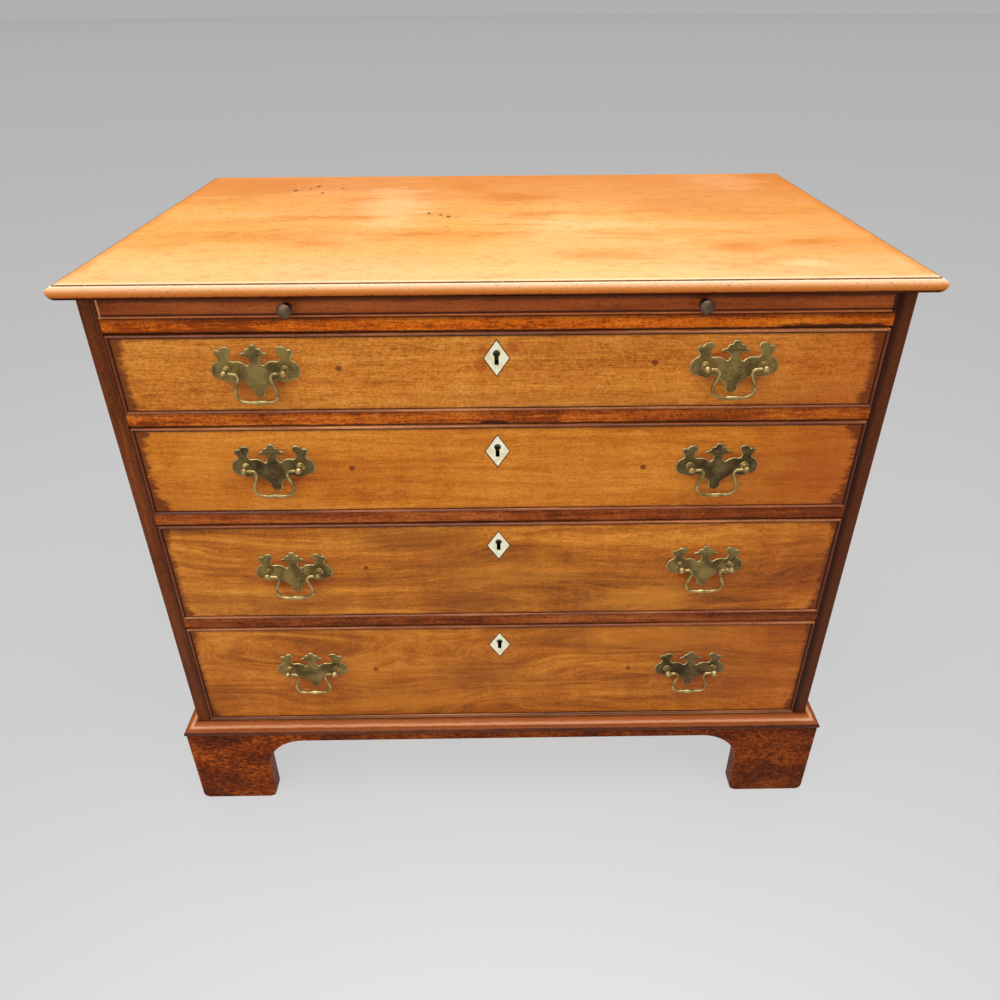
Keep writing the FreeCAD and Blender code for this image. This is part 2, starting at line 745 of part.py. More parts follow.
def slide_lip():
    """The front edge of the slide with a bead along its top and bottom."""
    half = HALF_OPENING - SLIDE_SIDE_GAP
    z0 = slide_bottom()
    z1 = z0 + SLIDE_T
    bead = 2 * SLIDE_BEAD_R
    section = Outline(LIP_DEPTH, z0).line(0, z0)
    section.arc((-SLIDE_BEAD_R, z0 + SLIDE_BEAD_R), (0, z0 + bead))
    section.line(0, z1 - bead)
    section.arc((-SLIDE_BEAD_R, z1 - SLIDE_BEAD_R), (0, z1)).line(LIP_DEPTH, z1)
    lip = section.flattened().solid(end_view, -half, 2 * half)
    hole = [(KNOB_PIN_R, -MARGIN), (KNOB_PIN_R, KNOB_PIN_LENGTH)]
    return without(lip, [turned(hole, KNOB_SIDES, x, knob_z()) for x in knob_places()])


def knob_places():
    """Distances of the two knobs from the middle of the chest."""
    return about(FITTINGS_X, 2 * KNOB_X)


def knob_z():
    """Height of the slide's knobs."""
    return CASE_TOP_Z - KNOB_DROP


def knob(x):
    """A small turned pull with a slightly domed head on a waisted neck."""
    shape = [(radius, back - KNOB_REACH) for radius, back in KNOB_OUTLINE]
    pin = [(KNOB_PIN_R, 0), (KNOB_PIN_R, KNOB_PIN_LENGTH)]
    return turned(shape + pin, KNOB_SIDES, x, knob_z())


# ---- Drawers ----
def tail_count(height):
    """How many dovetails stand in a given height."""
    return max(2, round((height - 2 * PIN_EDGE) / TAIL_PITCH))


def tails(z0, z1, shoulder, tip):
    """The dovetails at one end of a drawer side, as end view outlines."""
    count = tail_count(z1 - z0)
    width = (z1 - z0 - 2 * PIN_EDGE - (count - 1) * PIN_W) / count
    pinch = abs(tip - shoulder) * TAIL_SLOPE
    outlines = []
    for index in range(count):
        low = z0 + PIN_EDGE + index * (width + PIN_W)
        high = low + width
        outlines.append([(tip, low), (tip, high), (shoulder, high - pinch),
                         (shoulder, low + pinch)])
    return outlines


def tail_blocks(drawer, end):
    """The solid dovetails of the left side at its front or back end."""
    if end == "front":
        outlines = tails(drawer.bottom, drawer.side_top, FRONT_T, FRONT_LAP)
    else:
        outlines = tails(drawer.back_z, drawer.side_top - BACK_SET_DOWN,
                         DRAWER_DEPTH - DRAWER_BACK_T, DRAWER_DEPTH)
    return [polygon(points, end_view, -HALF_DRAWER, DRAWER_SIDE_T) for points in outlines]


def drawer_left_side(drawer):
    """The left side, dovetailed at both ends and grooved for the bottom."""
    inner = -HALF_DRAWER + DRAWER_SIDE_T
    shoulder = DRAWER_DEPTH - DRAWER_BACK_T
    board = box(-HALF_DRAWER, inner, FRONT_T, shoulder, drawer.bottom, drawer.side_top)
    heel = box(-HALF_DRAWER, inner, shoulder, DRAWER_DEPTH, drawer.bottom, drawer.back_z)
    board = joined([board, heel] + tail_blocks(drawer, "front") + tail_blocks(drawer, "back"))
    groove = box(inner - DRAWER_GROOVE, inner + MARGIN, FRONT_T, DRAWER_DEPTH + MARGIN,
                 drawer.panel_z, drawer.back_z)
    return without(board, [groove])


def drawer_back(drawer):
    """The back, which stands on the drawer bottom between the dovetails of the sides."""
    board = box(-HALF_DRAWER, HALF_DRAWER, DRAWER_DEPTH - DRAWER_BACK_T, DRAWER_DEPTH,
                drawer.back_z, drawer.side_top - BACK_SET_DOWN)
    waste = []
    for tail in tail_blocks(drawer, "back"):
        waste += both_sides(tail)
    return without(board, waste)


def drawer_bottom(drawer):
    """The bottom, in grooves in the sides and the front, running out under the back."""
    inner = HALF_DRAWER - DRAWER_SIDE_T
    edge = inner + DRAWER_GROOVE
    return joined([
        box(-edge, edge, FRONT_T, DRAWER_DEPTH, drawer.panel_z, drawer.back_z),
        box(-inner, inner, FRONT_T - DRAWER_GROOVE, FRONT_T, drawer.panel_z, drawer.back_z),
    ])


def keyhole(drawer, y0, y1):
    """The keyhole as a solid: a round with a slot below it."""
    left, right = about(FITTINGS_X, KEY_SLOT_W)
    centre = drawer.key_z + KEY_HEAD_RISE
    shoulder = centre - math.sqrt(KEY_HEAD_R ** 2 - (KEY_SLOT_W / 2) ** 2)
    foot = drawer.key_z - KEY_SLOT_FALL
    hole = Outline(left, foot).line(right, foot).line(right, shoulder)
    hole.arc((FITTINGS_X, centre + KEY_HEAD_R), (left, shoulder))
    return hole.flattened().solid(front_view, y0, y1 - y0)


def diamond(drawer):
    """The lozenge of the keyhole plate, from the drawer's face to its seat."""
    left, right = about(FITTINGS_X, PLATE_W)
    low, high = about(drawer.key_z, PLATE_H)
    points = [(FITTINGS_X, high), (right, drawer.key_z), (FITTINGS_X, low), (left, drawer.key_z)]
    return polygon(points, front_view, 0, PLATE_T)


def keyhole_plate(drawer):
    """The bone plate round the keyhole, let in flush."""
    return without(diamond(drawer), [keyhole(drawer, -MARGIN, PLATE_T + MARGIN)])


def bead_rebates(drawer):
    """The steps round the edge of a front in which its cock beads lie."""
    x = HALF_DRAWER
    z0, z1 = drawer.bottom, drawer.top
    return [
        box(-x, x, -MARGIN, BEAD_IN, z0, z0 + BEAD_T),
        box(-x, x, -MARGIN, BEAD_IN, z1 - BEAD_T, z1),
        box(-x, BEAD_T - x, -MARGIN, BEAD_IN, z0, z1),
        box(x - BEAD_T, x, -MARGIN, BEAD_IN, z0, z1),
    ]


def drawer_front(drawer):
    """The mahogany front with its sockets, grooves, keyhole and holes for the handle posts."""
    board = box(-HALF_DRAWER, HALF_DRAWER, 0, FRONT_T, drawer.bottom, drawer.top)
    waste = bead_rebates(drawer)
    for tail in tail_blocks(drawer, "front"):
        waste += both_sides(tail)
    inner = HALF_DRAWER - DRAWER_SIDE_T
    waste.append(box(-inner, inner, FRONT_T - DRAWER_GROOVE, FRONT_T + MARGIN,
                     drawer.panel_z, drawer.back_z))
    waste.append(diamond(drawer))
    waste.append(keyhole(drawer, -MARGIN, FRONT_T))
    waste.append(lock_recess(drawer))
    for x, z, _ in post_places(drawer):
        waste.append(shank_hole(x, z, -MARGIN, FRONT_T + MARGIN))
    return without(board, waste)


def bead_profile():
    """A cock bead's section: its depth from the face, and its thickness, with a round nose."""
    nose = BEAD_T / 2
    section = Outline(BEAD_IN, 0).line(nose - BEAD_OUT, 0)
    section.arc((-BEAD_OUT, nose), (nose - BEAD_OUT, BEAD_T))
    return section.line(BEAD_IN, BEAD_T).flattened()


def cock_beads(drawer):
    """Four strips of bead, mitred round the drawer front."""
    x = HALF_DRAWER
    z0, z1 = drawer.bottom, drawer.top
    height = z1 - z0
    flat = bead_profile().solid(end_view, -x, 2 * x)
    low = flat.copy()
    low.translate(V(0, 0, z0))
    high = flat.copy()
    high.translate(V(0, 0, z1 - BEAD_T))
    upright = bead_profile().solid(end_view, 0, height)
    upright.rotate(V(0, 0, 0), V(0, 1, 0), -90)
    upright.translate(V(-x + BEAD_T, 0, z0))
    strips = []
    cut = BEAD_T
    low_space = [(-x, z0), (x, z0), (x - cut, z0 + cut), (cut - x, z0 + cut)]
    high_space = [(-x, z1), (x, z1), (x - cut, z1 - cut), (cut - x, z1 - cut)]
    left_space = [(-x, z0), (cut - x, z0 + cut), (cut - x, z1 - cut), (-x, z1)]
    for strip, space in ((low, low_space), (high, high_space), (upright, left_space)):
        mitre = polygon(space, front_view, -BEAD_OUT - MARGIN, BEAD_OUT + BEAD_IN + 2 * MARGIN)
        strips.append(strip.common(mitre).Solids[0])
    return strips[:2] + both_sides(strips[2])


# ---- Locks ----
def bolt_y():
    """Front face of a lock bolt."""
    return FRONT_T - LOCK_T / 2 - BOLT_T / 2


def lock_recess(drawer):
    """The pocket in the back of a drawer front for its lock, open at the top."""
    return box(*about(FITTINGS_X, LOCK_W), FRONT_T - LOCK_T, FRONT_T + MARGIN,
               drawer.top - LOCK_H, drawer.top + MARGIN)


def lock_case(drawer):
    """The lock's case with its cap plate, keyhole and channel for the bolt."""
    z0 = drawer.top - LOCK_H
    case = box(*about(FITTINGS_X, LOCK_W), FRONT_T - LOCK_T, FRONT_T, z0, drawer.top)
    cap = box(*about(FITTINGS_X, LOCK_W + 2 * LOCK_CAP_EDGE), FRONT_T, FRONT_T + LOCK_CAP_T,
              z0 - LOCK_CAP_EDGE, drawer.top)
    channel = box(*about(FITTINGS_X, BOLT_W + 2 * BOLT_GAP), bolt_y() - BOLT_GAP,
                  bolt_y() + BOLT_T + BOLT_GAP, drawer.top - BOLT_H - BOLT_GAP,
                  drawer.top + MARGIN)
    hole = keyhole(drawer, FRONT_T - LOCK_T - MARGIN, FRONT_T - LOCK_T + KEY_DEPTH_IN_LOCK)
    return without(joined([case, cap]), [channel, hole])


def lock_bolt(drawer):
    """The bolt, which rises out of the drawer front into the rail above."""
    return box(*about(FITTINGS_X, BOLT_W), bolt_y(), bolt_y() + BOLT_T,
               drawer.top - BOLT_H, drawer.top)


# ---- Handles ----
def post_places(drawer):
    """The four handle posts of a drawer as (x, z, inward), inward being the way to the bail."""
    return [(x - inward * HALF_POSTS, z, inward)
            for x, z in drawer.handle_places for inward in (1, -1)]


def plate_outline():
    """The bat wing outline of a back plate, drawn from its right half."""
    half = Outline(*BAT_WING_TOP)
    for via, end in BAT_WING_ARCS:
        half.arc(via, end)
    return half.mirrored().flattened()


def shank_hole(x, z, y0, y1):
    """The square hole through which a post's shank passes."""
    return square_bar(x, z, SHANK_W + 2 * SHANK_GAP, y0, y1)


def handle_plate(x, z):
    """A brass back plate, pierced for its two posts."""
    plate = plate_outline().solid(front_view, -BACK_PLATE_T, BACK_PLATE_T)
    plate = without(plate, [shank_hole(hand * HALF_POSTS, 0, -BACK_PLATE_T - MARGIN, MARGIN)
                            for hand in (-1, 1)])
    plate.translate(V(x, 0, z))
    return plate


def post_profile():
    """The visible part of a post from the front: ball, neck, ring and flange."""
    flange = -BACK_PLATE_T - POST_FLANGE_T
    ring = flange - POST_RING_T
    join = math.acos(POST_NECK_R / BALL_R)
    latitudes = [math.radians(ring) for ring in BALL_RINGS] + [join]
    ball = [(BALL_R * math.cos(a), BALL_R * math.sin(a) - STANDOFF) for a in latitudes]
    tip = (BALL_R * math.cos(latitudes[0]) / 2, -STANDOFF - BALL_R)
    return [tip] + ball + [
        (POST_NECK_R, ring),
        (POST_RING_R, (flange + ring) / 2),
        (POST_NECK_R, flange),
        (POST_FLANGE_R, -BACK_PLATE_T),
    ]


def handle_post(x, z, inward):
    """A turned post, bored for the bail, with a square shank through the drawer front."""
    shank = square_bar(x, z, SHANK_W, -BACK_PLATE_T, FRONT_T + NUT_T + SHANK_PROUD)
    post = joined([turned(post_profile(), TURNED_SIDES, x, z), shank])
    bore_end = V(x - inward * (BAIL_END_PAST + BORE_END_GAP), -STANDOFF, z)
    bore = Part.makeCylinder(BAIL_R + BAIL_FIT, 2 * BALL_R, bore_end, V(inward, 0, 0))
    return without(post, [bore])


def post_nut(x, z):
    """The square nut inside the drawer."""
    nut = square_bar(x, z, NUT_SIZE, FRONT_T, FRONT_T + NUT_T)
    return without(nut, [shank_hole(x, z, FRONT_T - MARGIN, FRONT_T + NUT_T + MARGIN)])


def handle_posts(drawer):
    """The four posts of a drawer with their nuts."""
    pieces = []
    for x, z, inward in post_places(drawer):
        pieces += [handle_post(x, z, inward), post_nut(x, z)]
    return pieces


def bend_points(centre, radius, first, last):
    """Points round a bend of the bail, whose flats cut its true curve evenly."""
    step = (last - first) / BEND_STEPS
    reach = radius / math.cos(step / 2)
    angles = [first + step * (k + 0.5) for k in range(BEND_STEPS)]
    return [(centre[0] + reach * math.cos(a), centre[1] + reach * math.sin(a)) for a in angles]


def bail_line():
    """The right half of the bail's centre line: points from the grip to the end in its post."""
    lean = math.radians(BAIL_LEAN)
    bend = (GRIP_HALF, BAIL_BEND_R - BAIL_DROP)
    arm_foot = (bend[0] + BAIL_BEND_R * math.cos(lean), bend[1] + BAIL_BEND_R * math.sin(lean))
    arm_top_z = -NECK_BEND_R * (1 + math.sin(lean))
    arm_top_x = arm_foot[0] - (arm_top_z - arm_foot[1]) * math.tan(lean)
    neck = (arm_top_x + NECK_BEND_R * math.cos(lean), -NECK_BEND_R)
    line = [(SWELL_HALF, -BAIL_DROP)]
    line += bend_points(bend, BAIL_BEND_R, -math.pi / 2, lean)
    line += bend_points(neck, NECK_BEND_R, math.pi + lean, math.pi / 2)
    return line + [(HALF_POSTS + BAIL_END_PAST, 0)]


def wire_ring(before, point, after, radius):
    """The flats' corners where a bent wire turns at a point, on the mitre of the turn."""
    into = math.atan2(point[1] - before[1], point[0] - before[0])
    out = math.atan2(after[1] - point[1], after[0] - point[0])
    turn = math.remainder(out - into, math.tau)
    across = into + turn / 2 + math.pi / 2
    reach = radius / math.cos(turn / 2)
    ring = []
    for k in range(WIRE_SIDES):
        angle = math.tau * (k + 0.5) / WIRE_SIDES
        side = reach * math.cos(angle)
        ring.append(V(point[0] + side * math.cos(across), radius * math.sin(angle),
                      point[1] + side * math.sin(across)))
    return ring


def bail(x, z):
    """A swan neck bail: a bent wire with a swelling in the middle of its grip."""
    half = bail_line()
    left = [(-a, b) for a, b in reversed(half)]
    swelling = [(-SWELL_HALF / 2, -BAIL_DROP), (0.0, -BAIL_DROP), (SWELL_HALF / 2, -BAIL_DROP)]
    shoulder = BAIL_R + (GRIP_R - BAIL_R) * SWELL_SHOULDER
    line = left + swelling + half
    radii = [BAIL_R] * len(left) + [shoulder, GRIP_R, shoulder] + [BAIL_R] * len(half)
    ahead = (2 * line[-1][0] - line[-2][0], line[-1][1])
    behind = (-ahead[0], ahead[1])
    before, after = [behind] + line[:-1], line[1:] + [ahead]
    wire = skin([wire_ring(*ring) for ring in zip(before, line, after, radii)])
    wire.translate(V(x, -STANDOFF, z))
    return wire


# ---- Writing the nodes ----
def save_case():
    """Write the fixed pieces of the case and its base."""
    side = left_side()
    save("top_board", [top_board()])
    save("side_left", [side])
    save("side_right", [both_sides(side)[1]])
    save("bottom_board", [shouldered_board(BACK_FACE_Y, PLINTH_HEIGHT, BOTTOM_T)])
    save("back_boards", [back_board(index) for index in range(BACK_BOARDS)])
    save("front_rails", [rail(level) for level in RAIL_LEVELS])
    save("dust_boards", [dust_board(level) for level in RAIL_LEVELS])
    runners = []
    for level in RAIL_LEVELS:
        runners += both_sides(left_runner(level))
    save("drawer_runners", runners)
    stops = []
    for drawer in DRAWERS:
        stops += both_sides(left_drawer_stop(drawer))
    save("drawer_stops", stops)
    save("base_moulding", base_moulding())
    save("plinth_front", [plinth_front()])
    save("plinth_sides", both_sides(plinth_left()))
    save("foot_blocks", foot_pieces())


def save_slide():
    """Write the brushing slide."""
    save("slide_panel", [slide_panel()])
    save("slide_edges", [slide_lip()] + both_sides(left_cleat()))
    save("slide_knobs", [knob(x) for x in knob_places()])


def save_drawer(drawer):
    """Write one drawer with its lock and handles."""
    name = "drawer_%d_" % drawer.number
    save(name + "front", [drawer_front(drawer)])
    save(name + "sides", both_sides(drawer_left_side(drawer)) + [drawer_back(drawer)])
    save(name + "bottom", [drawer_bottom(drawer)])
    save(name + "cock_beads", cock_beads(drawer))
    save(name + "keyhole_plate", [keyhole_plate(drawer)])
    save(name + "lock", [lock_case(drawer)])
    save(name + "lock_bolt", [lock_bolt(drawer)])
    save(name + "handle_plates", [handle_plate(x, z) for x, z in drawer.handle_places])
    save(name + "handle_posts", handle_posts(drawer))
    for hand, (x, z) in zip(("left", "right"), drawer.handle_places):
        save(name + "bail_" + hand, [bail(x, z)])


def main():
    """Build the chest and write one STEP file to each node."""
    os.makedirs("parts", exist_ok=True)
    save_case()
    save_slide()
    for drawer in DRAWERS:
        save_drawer(drawer)


main()
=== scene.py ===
"""A low bachelors chest of four long drawers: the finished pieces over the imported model.

The frame is in metres: X runs left to right, Y from front to back, Z up, and the chest stands
on the floor about the middle of its own width and depth. Sizes in fields and tables are in mm.
"""

import cmath
import json
import logging
import math
from dataclasses import dataclass, replace
from enum import Enum
from functools import partial
from typing import Any, Callable, Iterable, Sequence

import bpy
from mathutils import Matrix, Vector

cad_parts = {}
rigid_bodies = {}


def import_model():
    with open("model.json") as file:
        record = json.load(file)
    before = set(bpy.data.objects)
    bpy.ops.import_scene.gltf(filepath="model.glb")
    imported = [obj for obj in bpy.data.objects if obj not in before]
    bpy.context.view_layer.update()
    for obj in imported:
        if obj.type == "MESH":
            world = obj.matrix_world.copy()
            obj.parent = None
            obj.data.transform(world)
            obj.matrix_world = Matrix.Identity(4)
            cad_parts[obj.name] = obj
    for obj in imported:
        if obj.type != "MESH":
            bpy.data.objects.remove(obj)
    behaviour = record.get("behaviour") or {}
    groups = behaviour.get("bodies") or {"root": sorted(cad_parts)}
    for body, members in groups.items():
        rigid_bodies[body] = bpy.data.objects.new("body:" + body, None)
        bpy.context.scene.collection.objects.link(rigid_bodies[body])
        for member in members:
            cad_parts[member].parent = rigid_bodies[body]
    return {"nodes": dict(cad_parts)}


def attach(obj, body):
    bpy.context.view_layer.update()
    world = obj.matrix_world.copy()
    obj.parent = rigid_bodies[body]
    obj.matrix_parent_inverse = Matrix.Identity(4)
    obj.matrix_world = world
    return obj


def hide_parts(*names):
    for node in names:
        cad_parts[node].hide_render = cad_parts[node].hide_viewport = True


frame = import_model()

LOG = logging.getLogger("chest")
MM = 0.001
FRONT_Y = -247.5  # the front face of the case and of the drawer fronts
FITTINGS_X = -3.0  # the line from which knobs and keyholes are set out
TOP_Z = 794.0  # the upper face of the top
NOSE_Z = 780.0  # the foot of the top's rounded nose
POST_HALF = 31.25  # half the distance between a handle's posts
FLAT_DEGREES = 0.5  # faces that meet flatter than this are made one
ARRIS_DEGREES = 38.0  # edges sharper than this are rubbed round
SMOOTH_DEGREES = 32.0  # edges flatter than this are shaded round
FACES_DOWN = -0.55  # a normal's Z below which a face is in the top's shadow
RIM_SLOPE = (-0.97, -0.2)  # the normals' Y on the filed rim of a handle's plate

Point = tuple[float, float, float]
Spot = tuple[float, float]
Patch = tuple[float, float, float, float, float]
Operand = "Sock | float | Sequence[float]"
Step = Callable[[], Any]
Piece = bpy.types.Object
Material = bpy.types.Material

# --- Shader maths ---


@dataclass(frozen=True)
class Shade:
    """A colour as a painter mixes it, each channel from 0 to 255."""

    red: float
    green: float
    blue: float

    @property
    def linear(self) -> tuple[float, ...]:
        """The colour as scene light, with full cover."""
        return (*(self._open(c / 255) for c in (self.red, self.green, self.blue)), 1.0)

    @staticmethod
    def _open(value: float) -> float:
        """One channel from display to scene light."""
        return value / 12.92 if value <= 0.04045 else ((value + 0.055) / 1.055) ** 2.4

    def times(self, share: float) -> "Shade":
        """The same colour with more or less light in it."""
        return Shade(self.red * share, self.green * share, self.blue * share)


class Sock:
    """One output of a shader tree; arithmetic on it adds the matching nodes."""

    def __init__(self, bench: "Bench", link: bpy.types.NodeSocket, wide: bool = False) -> None:
        """Wraps a socket.

        Args:
            bench: The tree that the socket belongs to.
            link: The output socket.
            wide: True for a vector, False for a single value.
        """
        self.bench, self.link, self.wide = bench, link, wide

    def _join(self, operation: str, *pair: Operand) -> "Sock":
        """Adds the maths node that joins two operands.

        Args:
            operation: The node's operation, as Blender names it.
            pair: The operands in order.

        Returns:
            The node's result, wide if either operand is.
        """
        wide = any(isinstance(o, tuple) or getattr(o, "wide", False) for o in pair)
        if wide:
            pair = [(o,) * 3 if isinstance(o, (int, float)) else o for o in pair]
        kind = "VectorMath" if wide else "Math"
        return self.bench.node(kind, {"operation": operation}, dict(enumerate(pair)), wide=wide)

    def __add__(self, other: Operand) -> "Sock":
        """Sum."""
        return self._join("ADD", self, other)

    def __radd__(self, other: Operand) -> "Sock":
        """Sum, reflected."""
        return self._join("ADD", other, self)

    def __sub__(self, other: Operand) -> "Sock":
        """Difference."""
        return self._join("SUBTRACT", self, other)

    def __rsub__(self, other: Operand) -> "Sock":
        """Difference, reflected."""
        return self._join("SUBTRACT", other, self)

    def __mul__(self, other: Operand) -> "Sock":
        """Product."""
        return self._join("MULTIPLY", self, other)

    def __rmul__(self, other: Operand) -> "Sock":
        """Product, reflected."""
        return self._join("MULTIPLY", other, self)

    def __abs__(self) -> "Sock":
        """Size without sign, of a single value."""
        return self._join("ABSOLUTE", self)

    def least(self, other: Operand) -> "Sock":
        """The smaller of two values."""
        return self._join("MINIMUM", self, other)

    def most(self, other: Operand) -> "Sock":
        """The larger of two values."""
        return self._join("MAXIMUM", self, other)

    def rise(self, low: float, high: float) -> "Sock":
        """A share that goes smoothly from 0 to 1.

        Args:
            low: The value that gives 0.
            high: The value that gives 1; it may be the smaller of the two.

        Returns:
            The share.
        """
        if high < low:
            return 1 - self.rise(high, low)
        return self.bench.node("MapRange", {"interpolation_type": "SMOOTHSTEP"},
                               {"Value": self, "From Min": low, "From Max": high})

    def band(self, start: float, full: float, fall: float, end: float) -> "Sock":
        """A share that is 1 from full to fall, and 0 up to start and from end on."""
        return self.rise(start, full) * self.rise(end, fall)


class Bench:
    """A node tree, what is laid on it so far, and one method that adds any node to it."""

    def __init__(self, owner: bpy.types.ID, coordinates: str = "Object") -> None:
        """Starts an empty tree and reads the surface's place.

        Args:
            owner: The material or world that the tree belongs to.
            coordinates: What the place is read in.
        """
        self.owner = owner
        owner.use_nodes = True
        self.tree = owner.node_tree
        self.tree.nodes.clear()
        self.place = self.node("TexCoord", out=coordinates, wide=True)
        self.spot = self.place * 1000.0
        self.x, self.y, self.z = self.parts(self.spot)
        self.colour = self.roughness = self.height = None

    def node(self, kind: str, settings: dict[str, Any] | None = None,
             sockets: dict[str | int, Any] | None = None, out: str | int = 0,
             wide: bool = False) -> Sock | None:
        """Adds a node.

        Args:
            kind: The node's type, without the ShaderNode that they all start with.
            settings: Its properties, set first; "stops" are a colour ramp's stops.
            sockets: The values or links of its inputs.
            out: The output to give back.
            wide: True where that output is a vector or colour.

        Returns:
            The chosen output, or None from a node without any.
        """
        made = self.tree.nodes.new("ShaderNode" + kind)
        for key, value in (settings or {}).items():
            if key == "stops":
                ramp = made.color_ramp.elements
                ramp.remove(ramp[1])
                ramp[0].position, ramp[0].color = value[0][0], value[0][1].linear
                for place, shade in value[1:]:
                    ramp.new(place).color = shade.linear
            else:
                setattr(made, key, value)
        for key, value in (sockets or {}).items():
            if isinstance(value, Sock):
                self.tree.links.new(value.link, made.inputs[key])
            else:
                made.inputs[key].default_value = (
                    value.linear if isinstance(value, Shade) else value)
        return Sock(self, made.outputs[out], wide) if made.outputs else None

    def parts(self, vector: Sock) -> tuple[Sock, ...]:
        """A vector's three parts."""
        first = self.node("SeparateXYZ", sockets={0: vector})
        return tuple(Sock(self, out) for out in first.link.node.outputs)

    def noise(self, scales: Point, detail: float = 2.0, roughness: float = 0.5,
              at: Sock | None = None, shift: Point | None = None, distortion: float = 0.0,
              colour: bool = False) -> Sock:
        """Soft noise about 0.

        Args:
            scales: Waves to the metre along each axis.
            detail: How many finer layers it has.
            roughness: How strong the finer layers are.
            at: Where it is read, if not at the surface's own place.
            shift: How far the pattern is moved, in waves.
            distortion: How far the pattern is stirred.
            colour: True for three noises as a vector.

        Returns:
            The noise, from about -0.3 to 0.3.
        """
        where = (at or self.place) * scales
        return self.node("TexNoise", {}, {
            "Vector": where + shift if shift else where, "Scale": 1.0, "Detail": detail,
            "Roughness": roughness, "Distortion": distortion}, int(colour), colour) - 0.5

    def reach(self, middle: Point, stretch: Point = (1.0, 0.0, 1.0)) -> Sock:
        """How far the surface is from a point, both in mm, with each axis stretched."""
        return self.node("VectorMath", {"operation": "LENGTH"},
                         {0: (self.spot - middle) * stretch}, out="Value")

    def mix(self, share: Operand, first: Any, second: Any) -> Sock:
        """Two colours or their links mixed: the second where the share is 1."""
        return self.node("Mix", {"data_type": "RGBA"},
                         {0: share, 6: first, 7: second}, out=2, wide=True)

    def lay(self, share: Operand, shade: Any) -> None:
        """Lays a share of a colour, or of its link, over the colour so far."""
        self.colour = self.mix(share, self.colour, shade)

    def ramp(self, value: Sock, *stops: tuple[float, Shade]) -> Sock:
        """A colour that follows a value through stops."""
        return self.node("ValToRGB", {"stops": stops}, {0: value}, wide=True)

    def finish(self, depth: float = 0.0,
               sockets: dict[str, Any] | None = None) -> Material:
        """Closes a material's tree with its surface.

        Args:
            depth: How deep its relief is, in metres.
            sockets: More of the surface's sockets.

        Returns:
            The finished material.
        """
        sockets = {"Base Color": self.colour, "Roughness": self.roughness, **(sockets or {})}
        if self.height:
            sockets["Normal"] = self.node("Bump", {}, {
                "Height": self.height, "Distance": depth, "Strength": 1.0}, wide=True)
        surface = self.node("BsdfPrincipled", {}, sockets)
        self.node("OutputMaterial", {}, {0: surface})
        return self.owner


# --- Finishes ---


class Grain(Enum):
    """Which way a board's fibres run: the order in which its axes are read."""

    ALONG_X = (0, 1, 2)
    ALONG_Y = (1, 0, 2)
    ALONG_Z = (2, 1, 0)


ALONG_X, ALONG_Y, ALONG_Z = Grain


@dataclass(frozen=True)
class Finish:
    """A finish, made into a material once for each way of the grain."""

    name: str

    def material(self, grain: Grain | None = None) -> Material:
        """The finish as a material.

        Args:
            grain: Which way the fibres run, on wood.

        Returns:
            The material.
        """
        name = f"{self.name}_{grain.name.lower()}" if grain else self.name
        if name in bpy.data.materials:
            return bpy.data.materials[name]
        return self.paint(Bench(bpy.data.materials.new(name)), grain)

    def paint(self, bench: Bench, grain: Grain | None) -> Material:
        """Lays the finish on an empty tree, as each kind of finish does in its own way."""
        raise NotImplementedError


@dataclass(frozen=True)
class Timber(Finish):
    """Polished or plain wood: long fibres, a flowing figure, ribbons of tone and open pores."""

    dark: Shade
    mid: Shade
    pale: Shade
    figure: float = 0.5
    ribbon: float = 0.5
    fibre: float = 0.3
    pores: float = 0.5
    roughness: float = 0.38
    depth: float = 0.00010
    specular: float = 0.12
    shift: Point = (0.0, 0.0, 0.0)
    wander: float = 0.014
    ripple: float = 0.3

    def paint(self, bench: Bench, grain: Grain | None) -> Material:
        """Lays the timber itself, and then its wear.

        Args:
            bench: The empty tree.
            grain: Which way the fibres run.

        Returns:
            The material.
        """
        axes = bench.parts(bench.place + self.shift)
        along, across, up = (axes[i] for i in grain.value)
        board = bench.node("CombineXYZ", {}, {0: along, 1: across, 2: up}, wide=True)
        stir = bench.noise((2.6, 9, 9), at=board, colour=True)
        run = board + stir * (0.0, self.wander, self.wander)
        broad = bench.noise((1.9, 15, 15), 3, 0.6, at=run)
        ribbon = bench.noise((5, 120, 120), 4, 0.62, at=run)
        fibre = bench.noise((40, 620, 620), at=run)
        ripple = bench.noise((38, 9, 9), at=board)
        pitted = bench.noise((190, 640, 640), 2, 0.6, at=run).rise(0.02, 0.22)
        mottle = bench.noise((330, 330, 330), 2, 0.6, at=board)
        tone = (0.5 + broad * (2.4 * self.figure) + ribbon * (1.9 * self.ribbon)
                + (fibre + mottle) * (1.1 * self.fibre) + ripple * (0.9 * self.ripple))
        bench.colour = bench.ramp(tone, (0.10, self.dark), (0.5, self.mid), (0.90, self.pale))
        bench.lay(pitted * self.pores, self.dark.times(0.62))
        bench.height = fibre * 0.5 - pitted * 0.7
        bench.roughness = self.roughness + ribbon * 0.12 + pitted * 0.12
        self.wear(bench)
        return bench.finish(self.depth, {"Specular IOR Level": self.specular})

    def wear(self, bench: Bench) -> None:
        """Lays wear over the timber; plain timber has none."""


